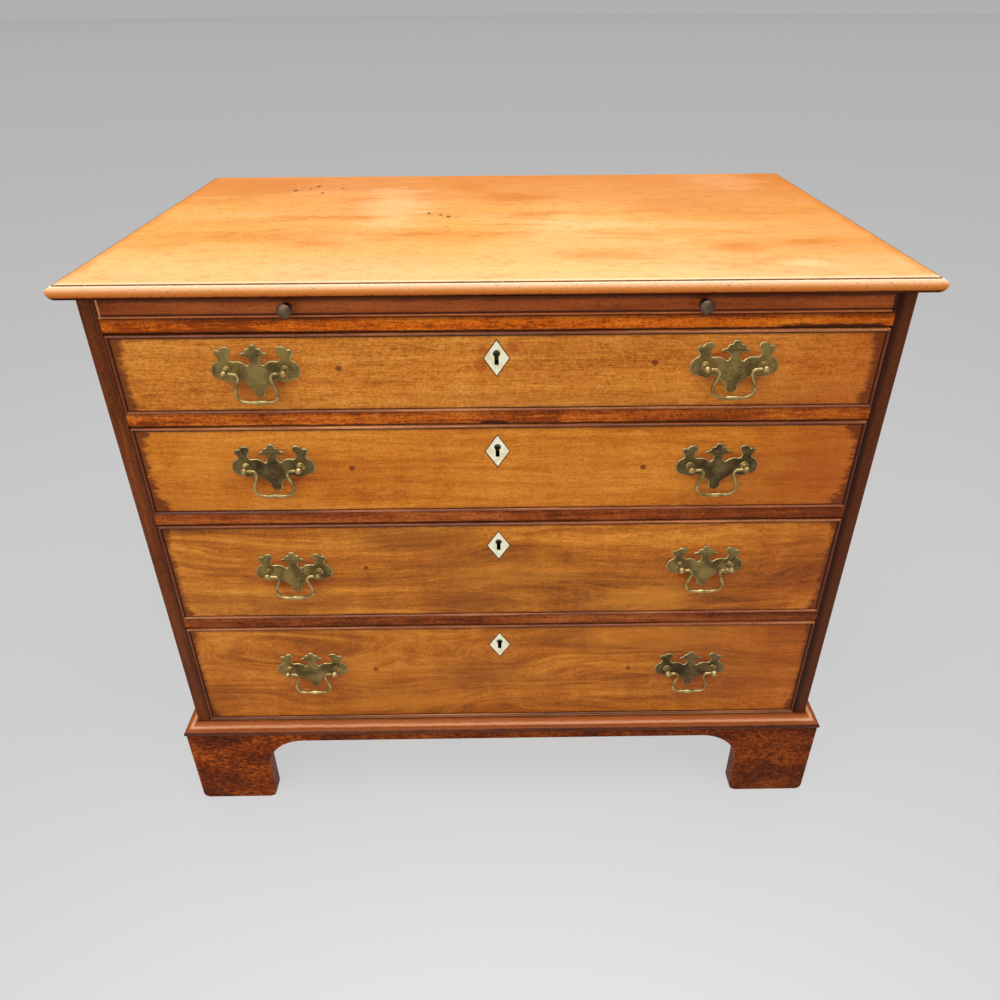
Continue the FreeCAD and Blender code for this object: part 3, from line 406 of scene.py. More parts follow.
@dataclass(frozen=True)
class TopTimber(Timber):
    """The sun-faded top: darker flames, small knocks, a flecked nose painted lit above and shaded
    below, and painted sheen and shade across its field.
    """

    knocks: tuple[Point, ...] = ()
    blots: tuple[Patch, ...] = ()
    # pale: sun-faded blots, and the painted sheen along the front
    bleach_and_sheen: Shade = Shade(222, 174, 124)
    # darker: flames, blots and specks, and painted shade to the rear and to the right
    stain_and_shade: Shade = Shade(178, 98, 10)
    gold: Shade = Shade(214, 160, 100)
    # a painted highlight along the step over the nose
    edge_highlight: Shade = Shade(236, 206, 178)
    fringe: Shade = Shade(236, 200, 166)
    quirk: Shade = Shade(84, 60, 46)
    # the nose's colour from its foot up: painted shade below, painted highlight above
    nose: tuple[tuple[float, Shade], ...] = (
        (0.06, Shade(66, 28, 12)), (0.20, Shade(196, 102, 38)), (0.48, Shade(210, 128, 56)),
        (0.70, Shade(212, 152, 104)), (0.92, Shade(214, 174, 142)))
    half: float = 451.0
    front: float = 264.5

    def wear(self, bench: Bench) -> None:
        """Lays flames, painted sheen and shade across the field, blots and knocks, and then the
        edges.

        Args:
            bench: The tree with the timber on it.
        """
        cloud = bench.noise((2.3, 8, 1), 4, 0.55, distortion=0.9)
        bench.lay(cloud.rise(-0.10, 0.12) * 0.65, self.gold)
        flame = bench.noise((5.2, 24, 1), 5, 0.62, shift=(3.1, 0.4, 0.0), distortion=0.7)
        bench.lay(flame.rise(0.04, 0.20) * 0.50, self.stain_and_shade)
        # painted: darker to the rear, where the top's sheen fades
        bench.lay((bench.y + cloud * 400).rise(-60, 280) * 0.74, self.stain_and_shade)
        # painted shade: darker to the right, away from the light
        bench.lay((bench.x + flame * 500).rise(100, 440) * 0.40, self.stain_and_shade)
        # painted sheen: paler along the front
        bench.lay((bench.y + cloud * 300).rise(-120, -250) * 0.5, self.bleach_and_sheen)
        ragged = flame * 2.4 + bench.noise((14, 60, 1), 4, 0.7) * 1.8
        for x, y, wide, deep, share in self.blots:
            blot = bench.reach((x, y, TOP_Z), (1 / wide, 1 / deep, 0.0)) + ragged
            bench.lay(blot.rise(1.35, 0.25) * abs(share),
                      self.stain_and_shade if share > 0 else self.bleach_and_sheen)
        speck = bench.noise((52, 80, 1), 4, 0.75)
        bench.lay(speck.rise(0.0, 0.18) * 0.30, self.stain_and_shade.times(0.8))
        for x, y, size in self.knocks:
            hit = bench.reach((x, y, TOP_Z), (1.0, 0.55, 1.0)) + speck * 6
            hit = hit.rise(size, size * 0.4)
            bench.lay(hit * 0.8, self.dark.times(0.35))
            bench.height = bench.height - hit
        self.edges(bench, flame)

    def edges(self, bench: Bench, flame: Sock) -> None:
        """Lays the rounded nose, painted lit above and shaded below, a painted highlight on the
        step over it, and the quirk between them.

        Args:
            bench: The tree with the top's field on it.
            flame: The field's flames.
        """
        side, forward = self.half - abs(bench.x), bench.y + self.front
        inward = side.least(forward)
        fleck = bench.noise((260, 260, 700), 3, 0.65)
        # painted light and shade on the rounded nose, dark at its foot and pale on top
        nose = bench.ramp((bench.z - NOSE_Z) * 0.0714 + fleck * 0.45, *self.nose)
        nose = bench.mix(fleck.rise(0.08, 0.20) * 0.65, nose, self.nose[0][1])
        bench.lay(inward.rise(5.2, 5.0), nose)
        ledge = inward + fleck * 1.2
        # painted highlight on the step's edge over the nose
        bench.lay(ledge.band(2.8, 4.2, 5.2, 5.6) * 0.6, self.edge_highlight)
        fringe = forward.band(6.6, 7.8, 9.0, 15.0) * (side * 3.0 + fleck * 1.2).rise(0, 30)
        bench.lay(fringe * 0.5, self.fringe)
        rubbed_ends = (side + flame * 30).rise(20, 7) * forward.rise(10, 30)
        bench.lay(rubbed_ends * 0.5, self.stain_and_shade)
        bench.lay(ledge.band(5.3, 5.7, 6.4, 7.2) * 0.8, self.quirk)


@dataclass(frozen=True)
class CaseTimber(Timber):
    """The sides of the case: handled and dark along their front edges, with painted shade there
    that deepens to the right.
    """

    # dark for old polish, and painted shade to the right
    grime_and_shade: Shade = Shade(78, 38, 20)

    def wear(self, bench: Bench) -> None:
        """Lays old polish on the front edge, in its inner corner and low down, with painted shade
        that deepens the edge and the corner to the right.

        Args:
            bench: The tree with the timber on it.
        """
        ragged = bench.noise((60, 60, 24), 4, 0.7)
        front = (bench.y - FRONT_Y + ragged * 20).rise(16, 2)
        # painted shade: the dark front edge deepens to the right, away from the light
        bench.lay(front * (bench.x.rise(-300, 300) * 0.35 + 0.50), self.grime_and_shade)
        bench.lay((bench.z + ragged * 200).rise(620, 300) * 0.35, self.grime_and_shade)
        # the inner corner beside the drawers: old polish and painted shade, strongest at the
        # right
        inner = (abs(bench.x) + ragged * 6).rise(422.5, 416.5) * front
        bench.lay(inner * bench.x.rise(-400, 400).most(0.35) * 0.8, self.grime_and_shade.times(0.5))


@dataclass(frozen=True)
class LipTimber(Timber):
    """The slide's front: painted highlights on its bead and left end, painted shadow under the
    top, and painted shade at its right end.
    """

    bottom: float = 753.3
    half: float = 412.2
    # painted highlight colour, for the bead and the left end
    rubbed: Shade = Shade(206, 142, 96)
    # dark for the quirk and foot, and painted shade under the top and at the right end
    grime_and_shade: Shade = Shade(44, 20, 12)

    def wear(self, bench: Bench) -> None:
        """Lays the quirk, the painted shadow under the top, the bead's painted highlight, its
        foot, the left end's painted highlight and the right end's painted shade.

        Args:
            bench: The tree with the timber on it.
        """
        ragged = bench.noise((50, 50, 400), 4, 0.7)
        level = bench.z - self.bottom + ragged * 0.8
        bench.lay(level.band(3.0, 3.6, 4.6, 5.6) * 0.85, self.grime_and_shade)
        # painted shadow under the top's overhang
        bench.lay((level + ragged * 6).rise(15.0, 20.5) * 0.78, self.grime_and_shade)
        # painted highlight along the bead, fading to the right
        bead = level.band(1.6, 1.9, 2.6, 2.9)
        bench.lay(bead * (0.48 - bench.x.rise(-100, 350) * 0.2 + ragged), self.rubbed)
        bench.lay(level.rise(1.2, 0.8) * 0.8, self.grime_and_shade)
        # painted highlight on the left end
        bench.lay((bench.x + self.half + ragged * 2).rise(2.0, 1.4) * 0.7, self.rubbed)
        # painted shade in the gap at the right end
        bench.lay((bench.x - self.half + ragged * 4).rise(-4.5, -3.0) * 0.9, self.grime_and_shade)


@dataclass(frozen=True)
class RailTimber(Timber):
    """A rail, with dirt in the joint below, painted shade along its top and to the right, and a
    worn edge where the lock bolt enters.
    """

    low: float = 0.0
    worn: Spot | None = None
    shaded: float = 0.15
    # how much darker the right end is: painted shade
    right_tone_and_shade: float = 0.3
    grime_and_shade: Shade = Shade(48, 20, 10)

    def wear(self, bench: Bench) -> None:
        """Lays painted shade to the right, dirt along the lower edge, painted shade along the top
        edge, and the worn edge.

        Args:
            bench: The tree with the timber on it.
        """
        ragged = bench.noise((60, 60, 300), 4, 0.7)
        level = bench.z - self.low
        # painted shade: darker to the right
        bench.lay(bench.x.rise(0, 400) * self.right_tone_and_shade, self.dark)
        bench.lay((level + ragged * 3).rise(2.6, 0.8) * 0.85, self.grime_and_shade)
        # painted shade along the top edge, under the bead or lip above
        bench.lay((level + ragged * 3).rise(8.5, 16.0) * self.shaded, self.grime_and_shade)
        if self.worn:
            centre, half = self.worn
            away = (abs(bench.x - centre) + ragged * 30).rise(half, half * 0.8)
            bench.lay(away * (level + ragged * 6).rise(5.2, 3.0) * 0.9, self.grime_and_shade)


@dataclass(frozen=True)
class MouldTimber(Timber):
    """The base moulding: a painted highlight over its cove, painted shade at its nose's outer
    edge, and dark in its quirks.
    """

    half: float = 432.0
    bottom: float = 134.0
    foot: Shade = Shade(190, 140, 100)
    # colour across the section: the wood with a painted highlight over the cove and painted shade
    # at the nose's outer edge
    tones_and_painted_light: tuple[tuple[float, Shade], ...] = (
        (0.06, Shade(62, 24, 12)), (0.14, Shade(154, 80, 34)), (0.30, Shade(166, 90, 40)),
        (0.41, Shade(220, 162, 122)), (0.53, Shade(216, 154, 112)), (0.64, Shade(156, 82, 34)),
        (0.86, Shade(126, 62, 20)), (0.96, Shade(44, 18, 10)))

    def wear(self, bench: Bench) -> None:
        """Lays the wood's colour along the section outward from the case, with a painted
        highlight and painted shade, and a worn foot.

        Args:
            bench: The tree with the timber on it.
        """
        ragged = bench.noise((40, 40, 200), 4, 0.7)
        fleck = bench.noise((180, 180, 500), 3, 0.7)
        out = (abs(bench.x) - self.half).most(FRONT_Y - bench.y)
        # the section's colour, with its painted highlight and painted shade
        bench.lay(0.72, bench.ramp(out * 0.058 + (ragged + fleck) * 0.14, *self.tones_and_painted_light))
        worn = (bench.z - self.bottom + fleck).rise(2.2, 1.4)
        bench.lay(worn * (0.45 + ragged), self.foot)


@dataclass(frozen=True)
class FrontTimber(Timber):
    """A drawer front: dark ragged polish at its ends and edges, and plugged handle holes.

    Patches and stains are given by their place and size; a patch's share is positive where it
    is darker and negative where it is paler.
    """

    low: float = 0.0
    high: float = 100.0
    key_z: float = 0.0
    handles: tuple[Spot, ...] = ()
    half: float = 413.0
    plugs: tuple[Spot, ...] = ()
    stains: tuple[Point, ...] = ()
    patches: tuple[Patch, ...] = ()
    old_polish: float = 11.0
    corner: float = 7.0
    tooth: float = 22.0
    # a rosier, darker right end: partly the board's tone, partly painted shade
    right_tone_and_shade: float = 0.5
    grime_and_shade: Shade = Shade(92, 36, 12)
    rosy: Shade = Shade(158, 64, 16)
    # painted shade behind the keyhole plate
    hole_shade: Shade = Shade(8, 5, 4)

    def wear(self, bench: Bench) -> None:
        """Lays patches, darker wood round the brasses, the keyhole's line and painted shade, the
        worn ends and the plugs.

        Args:
            bench: The tree with the timber on it.
        """
        ragged = bench.noise((48, 48, 190), 5, 0.72, shift=self.shift)
        broad = bench.noise((9, 9, 20), shift=self.shift)
        for x, z, wide, high, share in self.patches:
            patch = bench.reach((x, 0.0, z), (1 / wide, 0.0, 1 / high))
            bench.lay((patch + broad * 1.6 + ragged * 1.8).rise(1.5, 0.3) * abs(share),
                      self.dark if share > 0 else self.pale)
        for x, z in self.handles:
            reach = bench.reach((x, 0.0, z - 4), (1.0, 0.0, 1.45)) + ragged * 12
            bench.lay((reach + broad * 20).rise(62, 26) * 0.34, self.rosy)
            bench.lay((reach + broad * 12).rise(40, 30) * 0.35, self.grime_and_shade)
        for x, z, size in self.stains:
            spot = bench.reach((x, 0.0, z)) + broad * 12 + ragged * 8
            bench.lay(spot.rise(size, size * 0.7) * 0.45, self.rosy)
        self.ends(bench, ragged, broad)
        self.keyhole(bench, ragged)
        for x, z in self.plugs:
            reach = bench.reach((x, 0.0, z))
            plug = reach.rise(4, 3)
            bench.lay(plug * 0.72, self.grime_and_shade)
            bench.height = bench.height - reach.rise(3.8, 4.4) * plug

    def ends(self, bench: Bench, ragged: Sock, broad: Sock) -> None:
        """Lays a rosier right end, darker partly as painted shade, and old polish at both ends
        and along the edges.

        Args:
            bench: The tree with the front's field on it.
            ragged: Fine noise for torn outlines.
            broad: Slow noise for wandering ones.
        """
        side = self.half - abs(bench.x)
        upright = (bench.z - self.low).least(self.high - bench.z)
        inward = side - upright.rise(30, 3) * self.corner + ragged * self.tooth + broad * 12
        ends = inward.rise(self.old_polish + 4.5, self.old_polish - 4)
        ends = ends.most(ragged.rise(0.05, 0.16) * side.rise(34, 10) * 0.6)
        edges = (upright + ragged * 8).rise(7.8, 4.0)
        # rosier and darker to the right: the board's tone, and painted shade
        bench.lay((bench.x + broad * 200).rise(220, 420) * self.right_tone_and_shade, self.rosy)
        bench.lay((ends * 0.85).most(edges * 0.50), self.grime_and_shade)
        bench.lay(side.least(upright).rise(5.0, 4.2) * 0.90, self.grime_and_shade.times(0.35))
        bench.roughness = bench.roughness + ends * 0.1

    def keyhole(self, bench: Bench, ragged: Sock) -> None:
        """Lays a dark line round the let-in keyhole plate, and painted shade behind it where the
        keyhole opens.

        Args:
            bench: The tree with the front's field on it.
            ragged: Fine noise for torn outlines.
        """
        lozenge = (abs(bench.x - FITTINGS_X) * 0.835 + abs(bench.z - self.key_z) * 0.550
                   + ragged * 0.8)
        bench.lay(lozenge.rise(12.85, 12.15) * 0.85, self.grime_and_shade.times(0.4))
        # painted shade behind the keyhole plate, seen through the keyhole
        bench.lay(lozenge.rise(10.5, 9.5) * 0.97, self.hole_shade)


@dataclass(frozen=True)
class BurrTimber(Timber):
    """The dark mottled wood of the plinth."""

    blotch: Shade = Shade(46, 17, 6)
    glow: Shade = Shade(184, 92, 22)

    def wear(self, bench: Bench) -> None:
        """Lays mottling and small dark eyes, darker low down and where thin, and painted shade to
        the right.

        Args:
            bench: The tree with the timber on it.
        """
        mottle = bench.noise((150, 150, 260), 5, 0.8)
        eyes = bench.noise((38, 38, 52), 4, 0.65)
        cloud = bench.noise((14, 14, 24), 3)
        bench.lay(0.8, bench.ramp(mottle + cloud * 0.5 + 0.5, (0.36, self.blotch),
                                  (0.50, self.mid), (0.64, self.glow)))
        bench.lay(eyes.rise(0.05, 0.17) * 0.6, self.blotch)
        # darker to the right: painted shade; darker low down and where thin
        soil_and_shade = bench.x.rise(-100, 350) * 0.32 + (bench.z + cloud * 100).rise(60, 0) * 0.25
        bench.lay(soil_and_shade.most(abs(bench.x).rise(300, 220) * 0.35), self.blotch)
        bench.height = bench.height - mottle.rise(0.0, 0.2) * 0.3


@dataclass(frozen=True)
class Metal(Finish):
    """Cast or wrought metal with a worn, mottled skin."""

    base: Shade
    tarnish: Shade
    share: float = 0.5
    roughness: float = 0.34
    metallic: float = 1.0
    grain: float = 90.0
    depth: float = 0.00008

    def paint(self, bench: Bench, grain: Grain | None) -> Material:
        """Lays the tarnish in clouds and flecks.

        Args:
            bench: The empty tree.
            grain: None, since metal has no fibres.

        Returns:
            The material.
        """
        cloud = bench.noise((self.grain,) * 3, 4, 0.6)
        bench.height = fine = bench.noise((self.grain * 9,) * 3, 3, 0.6)
        dull = (cloud * 0.7 + fine * 0.3).rise(-0.10, 0.12) * self.share
        bench.colour = bench.mix(dull, self.base, self.tarnish)
        bench.roughness = self.roughness + dull * 0.22 + fine * 0.10
        return bench.finish(self.depth, {"Metallic": self.metallic})


@dataclass(frozen=True)
class LockMetal(Metal):
    """Lock brass, painted dark as shade where the keyhole opens on it."""

    # painted shade where the keyhole opens
    keyhole_shade: Shade = Shade(10, 7, 5)

    def paint(self, bench: Bench, grain: Grain | None) -> Material:
        """Lays the tarnish in clouds, and painted shade behind the keyhole.

        Args:
            bench: The empty tree.
            grain: None, since metal has no fibres.

        Returns:
            The material.
        """
        bench.height = cloud = bench.noise((self.grain,) * 3, 4, 0.6)
        bench.colour = bench.mix(cloud.rise(-0.10, 0.12) * self.share, self.base, self.tarnish)
        # painted shade behind the keyhole
        shade_mask = abs(bench.x - FITTINGS_X).rise(9, 7) * (bench.y - FRONT_Y).rise(16.5, 14.0)
        bench.lay(shade_mask * 0.97, self.keyhole_shade)
        bench.roughness = self.roughness + shade_mask * 0.5
        return bench.finish(self.depth, {"Metallic": self.metallic - shade_mask})


@dataclass(frozen=True)
class Bone(Finish):
    """Cream bone with faint long pores, and the keyholes painted dark in it as shade."""

    keys: tuple[float, ...] = (705.2, 589.5, 454.5, 288.5)
    base: Shade = Shade(232, 226, 198)
    warm: Shade = Shade(214, 199, 158)
    # painted shade of the keyholes
    keyhole_shade: Shade = Shade(18, 14, 11)

    def paint(self, bench: Bench, grain: Grain | None) -> Material:
        """Lays the warmer clouds and streaks, and each keyhole's round head and slot as painted
        shade.

        Args:
            bench: The empty tree.
            grain: None, since the plates are alike.

        Returns:
            The material.
        """
        bench.height = streak = bench.noise((900, 900, 120), 3)
        cloud = bench.noise((120, 120, 120), 3)
        bench.colour = bench.mix(cloud.rise(-0.08, 0.16) * 0.7, self.base, self.warm)
        bench.lay(streak.rise(0.10, 0.24) * 0.45, self.warm.times(0.72))
        along = bench.x - FITTINGS_X
        for key_z in self.keys:
            up = bench.z - key_z
            head = (along * along + (up - 5.5) * (up - 5.5)).rise(19.0, 14.0)
            slot = abs(along).rise(2.25, 1.80) * up.band(-8.3, -7.5, 2.0, 4.0)
            # each keyhole painted dark as shade
            bench.lay(head.most(slot) * 0.94, self.keyhole_shade)
        bench.roughness = 0.34 + streak * 0.1
        return bench.finish(0.00005, {"Specular IOR Level": 0.45})


TOP = TopTimber("top_mahogany", Shade(176, 98, 26), Shade(200, 140, 64), Shade(214, 166, 98),
                figure=0.34, ribbon=0.10, fibre=0.45, pores=0.40, roughness=0.42, depth=0.00004,
                specular=0.05, wander=0.03, ripple=0.2,
                knocks=((-297.5, 167.2, 5.0), (-277.3, 176.7, 3.5), (-268.8, 193.8, 5.0),
                        (-254.8, 148.9, 3.5), (-230.7, 178.4, 3.5), (-90.1, 21.1, 4.0),
                        (-73.8, 12.6, 3.5), (-63.6, 4.3, 4.0)),
                blots=((29, 110, 60, 34, 0.7), (-40, 178, 26, 40, 0.4),
                       (-212, -119, 36, 17, 0.5), (-94, -77, 36, 11, 0.35),
                       (123, -168, 60, 26, 0.45), (273, -146, 34, 20, 0.5),
                       (354, -126, 28, 14, 0.5), (245, 72, 95, 46, 0.5),
                       (-349, 172, 110, 74, 0.55), (-140, 59, 45, 150, -0.4),
                       (342, 210, 55, 60, -0.2), (326, -206, 34, 16, -0.5),
                       (78, -43, 90, 44, -0.35)))
UNDERSIDE = Timber("underside_mahogany", Shade(44, 20, 8), Shade(74, 34, 14), Shade(104, 54, 26),
                   roughness=0.8, specular=0.0)
CASE = CaseTimber("case_mahogany", Shade(84, 38, 14), Shade(126, 62, 26), Shade(158, 86, 40),
                  figure=0.65, ribbon=0.8, fibre=0.7, pores=0.6, roughness=0.36, specular=0.06)
RAIL = RailTimber("rail_mahogany", Shade(90, 38, 10), Shade(143, 64, 22), Shade(176, 94, 38),
                  figure=0.8, ribbon=0.8, fibre=0.8, pores=0.7, roughness=0.34, specular=0.08,
                  ripple=0.7)
RAILS = (dict(dark=Shade(140, 58, 4), mid=Shade(214, 102, 16), pale=Shade(232, 136, 36),
              low=737.0, worn=(350.0, 60.0), shaded=0.62),
         dict(dark=Shade(118, 50, 8), mid=Shade(192, 94, 24), pale=Shade(222, 136, 44),
              low=625.5, worn=(-8.0, 16.0)),
         dict(low=490.5),
         dict(dark=Shade(82, 34, 10), mid=Shade(138, 65, 22), pale=Shade(170, 92, 38), low=324.5))
SLIDE = Timber("slide_mahogany", Shade(86, 34, 10), Shade(138, 68, 26), Shade(168, 94, 42),
               figure=0.45, pores=0.4, roughness=0.36)
LIP = LipTimber("lip_mahogany", Shade(98, 38, 12), Shade(154, 73, 26), Shade(184, 98, 40),
                figure=0.45, pores=0.4, roughness=0.36)
BEAD = Timber("bead_mahogany", Shade(84, 36, 12), Shade(136, 68, 26), Shade(188, 120, 70),
              figure=0.7, ribbon=0.8, pores=0.3, roughness=0.28, specular=0.4)
SIDE_BEAD = Timber("side_bead_mahogany", Shade(62, 24, 8), Shade(104, 44, 14),
                   Shade(140, 72, 30), figure=0.7, ribbon=0.6, pores=0.3, roughness=0.30,
                   specular=0.3)
MOULD = MouldTimber("moulding_mahogany", Shade(76, 30, 10), Shade(130, 64, 24),
                    Shade(172, 100, 48), figure=0.55, ribbon=0.6, pores=0.4, roughness=0.30)
PLINTH = BurrTimber("plinth_mahogany", Shade(64, 22, 4), Shade(120, 46, 4), Shade(156, 72, 12),
                    figure=0.6, ribbon=0.45, roughness=0.34, specular=0.04)
OAK = Timber("oak", Shade(136, 98, 58), Shade(176, 138, 92), Shade(200, 166, 120),
             figure=0.4, pores=0.7, roughness=0.6, depth=0.0002)
PINE = Timber("pine", Shade(118, 80, 46), Shade(166, 124, 80), Shade(188, 150, 104),
              figure=0.6, pores=0.2, roughness=0.68, depth=0.0002)
PLATE_BRASS = Metal("plate_brass", Shade(150, 126, 72), Shade(86, 70, 42), 0.9, 0.40, 0.92, 42)
DARK_BRASS = Metal("plate_brass_dark", Shade(118, 98, 60), Shade(58, 46, 30), 0.9, 0.42, 0.92, 42)
RIM_BRASS = Metal("rim_brass", Shade(208, 184, 124), Shade(132, 110, 62), 0.6, 0.32, grain=300)
BRIGHT_BRASS = Metal("handle_brass", Shade(192, 168, 110), Shade(98, 80, 46), 0.8, grain=120)
LOCK_BRASS = LockMetal("lock_brass", Shade(180, 148, 84), Shade(120, 92, 48), 0.6, 0.4)
BRONZE = Metal("bronze_knob", Shade(112, 92, 74), Shade(70, 54, 42), 0.6, 0.42)
STEEL = Metal("steel_bolt", Shade(170, 168, 164), Shade(104, 96, 88), 0.5, 0.38)
BONE = Bone("bone_cream")

# --- Modelling by hand ---

outward = partial(bpy.ops.mesh.normals_make_consistent, inside=False)
close_face = bpy.ops.mesh.edge_face_add


def weld(threshold: float = 1e-6) -> None:
    """Merges selected points that meet."""
    bpy.ops.mesh.remove_doubles(threshold=threshold)


def lengthen(step: Sequence[float]) -> Step:
    """A step that extrudes what is selected, by a shift in metres."""
    return lambda: bpy.ops.mesh.extrude_region_move(TRANSFORM_OT_translate={"value": step})


def take_up(*pieces: Piece) -> None:
    """Selects some pieces alone.

    Args:
        pieces: The pieces, the last of which becomes the active one.
    """
    for other in bpy.context.view_layer.objects:
        other.select_set(False)
    for piece in pieces:
        piece.select_set(True)
        bpy.context.view_layer.objects.active = piece


def edit(piece: Piece, *steps: Step) -> None:
    """Runs steps in edit mode, with all of a piece selected at the start.

    Args:
        piece: The piece.
        steps: What is done, in order.
    """
    take_up(piece)
    bpy.ops.object.mode_set(mode="EDIT")
    bpy.ops.mesh.select_all(action="SELECT")
    for step in steps:
        step()
    bpy.ops.object.mode_set(mode="OBJECT")


def keep_faces(piece: Piece, kept: set[int]) -> None:
    """Deletes all faces of a piece but those kept.

    Args:
        piece: The piece.
        kept: The numbers of the faces that stay.
    """
    take_up(piece)
    for part in (piece.data.vertices, piece.data.edges):
        part.foreach_set("select", [False] * len(part))
    for face in piece.data.polygons:
        face.select = face.index not in kept
    bpy.context.tool_settings.mesh_select_mode = (False, False, True)
    bpy.ops.object.mode_set(mode="EDIT")
    bpy.ops.mesh.delete(type="FACE")
    bpy.ops.object.mode_set(mode="OBJECT")
    bpy.context.tool_settings.mesh_select_mode = (True, False, False)


def apply(piece: Piece, kind: str, **settings: Any) -> None:
    """Adds a modifier to a piece and applies it.

    Args:
        piece: The piece.
        kind: The modifier's type.
        settings: Its properties.
    """
    take_up(piece)
    modifier = piece.modifiers.new(kind.lower(), kind)
    for key, value in settings.items():
        setattr(modifier, key, value)
    bpy.ops.object.modifier_apply(modifier=modifier.name)


def smooth(piece: Piece, degrees: float = SMOOTH_DEGREES) -> None:
    """Rounds the shading over blunt edges, with flats kept flat.

    Args:
        piece: The piece.
        degrees: Edges flatter than this are shaded round.
    """
    take_up(piece)
    bpy.ops.object.shade_smooth_by_angle(angle=math.radians(degrees))
    apply(piece, "WEIGHTED_NORMAL", keep_sharp=True, weight=100)


def named(piece: Piece, name: str) -> Piece:
    """A piece, with its mesh, under a name of its own."""
    piece.name = piece.data.name = name
    return piece


def copy_of(source: Piece, name: str) -> Piece:
    """A copy of a piece with its own mesh, riding on nothing yet.

    Args:
        source: The piece to copy.
        name: The copy's name.

    Returns:
        The copy.
    """
    piece = source.copy()
    piece.data = source.data.copy()
    piece.parent = None
    for key in [k for k in piece.keys() if k.startswith("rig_")]:
        del piece[key]
    bpy.context.scene.collection.objects.link(piece)
    return named(piece, name)


def shells(mesh: bpy.types.Mesh) -> list[set[int]]:
    """The separate boards of a mesh: a board ends where its skin closes.

    Args:
        mesh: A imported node's mesh, its boards one after another.

    Returns:
        The numbers of each board's faces.
    """
    spots = [tuple(round(c * 1e5) for c in v.co) for v in mesh.vertices]
    found: list[set[int]] = [set()]
    unmet: set[tuple[Any, Any]] = set()
    for face in mesh.polygons:
        found[-1].add(face.index)
        ring = [spots[i] for i in face.vertices]
        for a, b in zip(ring, ring[1:] + ring[:1]):
            if (b, a) in unmet:
                unmet.remove((b, a))
            else:
                unmet.add((a, b))
        if not unmet:
            found.append(set())
    return found[:-1]


def rubbed(piece: Piece, arris: float, steps: int = 2) -> Piece:
    """Makes one skin of a copied piece and rubs its sharp corners round.

    Args:
        piece: The copy.
        arris: How wide the rounding is, in mm.
        steps: How many facets it has.

    Returns:
        The piece.
    """
    edit(piece, lambda: weld(1e-5),
         lambda: bpy.ops.mesh.dissolve_limited(angle_limit=math.radians(FLAT_DEGREES)))
    bpy.ops.mesh.customdata_custom_splitnormals_clear()
    apply(piece, "BEVEL", width=arris * MM, segments=steps, limit_method="ANGLE",
          angle_limit=math.radians(ARRIS_DEGREES), use_clamp_overlap=True)
    smooth(piece)
    return piece


def middle(piece: Piece) -> Vector:
    """The middle of a piece's points."""
    spots = [vertex.co for vertex in piece.data.vertices]
    return sum(spots, Vector()) / len(spots)


def fit(piece: Piece, body: str, slot: str, material: Material,
        *stands_for: str) -> Piece:
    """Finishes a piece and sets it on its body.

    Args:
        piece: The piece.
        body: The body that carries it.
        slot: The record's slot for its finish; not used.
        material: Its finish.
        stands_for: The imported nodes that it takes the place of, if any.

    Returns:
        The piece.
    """
    piece.data.materials.clear()
    piece.data.materials.append(material)
    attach(piece, body)
    if stands_for:
        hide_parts(*stands_for)
    LOG.info("%s on %s: %d faces", piece.name, body, len(piece.data.polygons))
    return piece


def second_finish(piece: Piece, material: Material,
                  chosen: Callable[[bpy.types.MeshPolygon], bool]) -> None:
    """Gives some faces of a finished piece a finish of their own.

    Args:
        piece: The piece.
        material: The second finish.
        chosen: Says which faces take it.
    """
    piece.data.materials.append(material)
    for face in piece.data.polygons:
        face.material_index = int(chosen(face))


def repaint(node: str, material: Material) -> None:
    """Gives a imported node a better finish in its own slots.

    Args:
        node: The node's name.
        material: The finish.
    """
    for slot in frame["nodes"][node].material_slots:
        slot.material = material
    LOG.info("%s repainted with %s", node, material.name)


def settle(piece: Piece) -> Piece:
    """Puts a piece's place into its mesh, with its object at the origin.

    Args:
        piece: The piece.

    Returns:
        The same piece.
    """
    take_up(piece)
    bpy.ops.object.transform_apply(location=True, rotation=True, scale=True)
    return piece


def drawn(name: str, points: Iterable[Sequence[float]]) -> Piece:
    """A line of edges through points, drawn by extruding one corner.

    Args:
        name: The piece's name.
        points: The points in metres.

    Returns:
        The line as a piece at the origin.
    """
    line = [Vector(p) for p in points]
    take_up()
    bpy.ops.mesh.primitive_plane_add(size=0.001, location=line[0])
    piece = named(bpy.context.active_object, name)
    edit(piece, lambda: bpy.ops.mesh.merge(type="CENTER"),
         *(lengthen(b - a) for a, b in zip(line, line[1:])))
    return settle(piece)


def turned(name: str, profile: Sequence[Spot], y: float, sides: int,
           degrees: float) -> Piece:
    """A piece turned about an axis that points to the front.

    Args:
        name: The piece's name.
        profile: Radius and distance along the axis, in mm, from axis to axis.
        y: Where the axis starts, in mm.
        sides: How many sides the turning has.
        degrees: Edges flatter than this are shaded round.

    Returns:
        The piece.
    """
    piece = drawn(name, [(r * MM, (y + out) * MM, 0.0) for r, out in profile])
    edit(piece,
         lambda: bpy.ops.mesh.spin(steps=sides, angle=math.tau, axis=(0, 1, 0),
                                   center=(0.0, y * MM, 0.0)),
         lambda: bpy.ops.mesh.select_all(action="SELECT"), weld, outward)
    smooth(piece, degrees)
    return piece


def copied(pattern: Piece, name: str, shift: Point) -> Piece:
    """A copy of a pattern piece, with its place in its own mesh.

    Args:
        pattern: The pattern.
        name: The copy's name.
        shift: How far it is moved, in mm.

    Returns:
        The copy.
    """
    piece = copy_of(pattern, name)
    piece.location = Vector(shift) * MM
    return settle(piece)


def scrap(*pieces: Piece) -> None:
    """Throws away pattern pieces once they are copied."""
    for piece in pieces:
        bpy.data.objects.remove(piece)


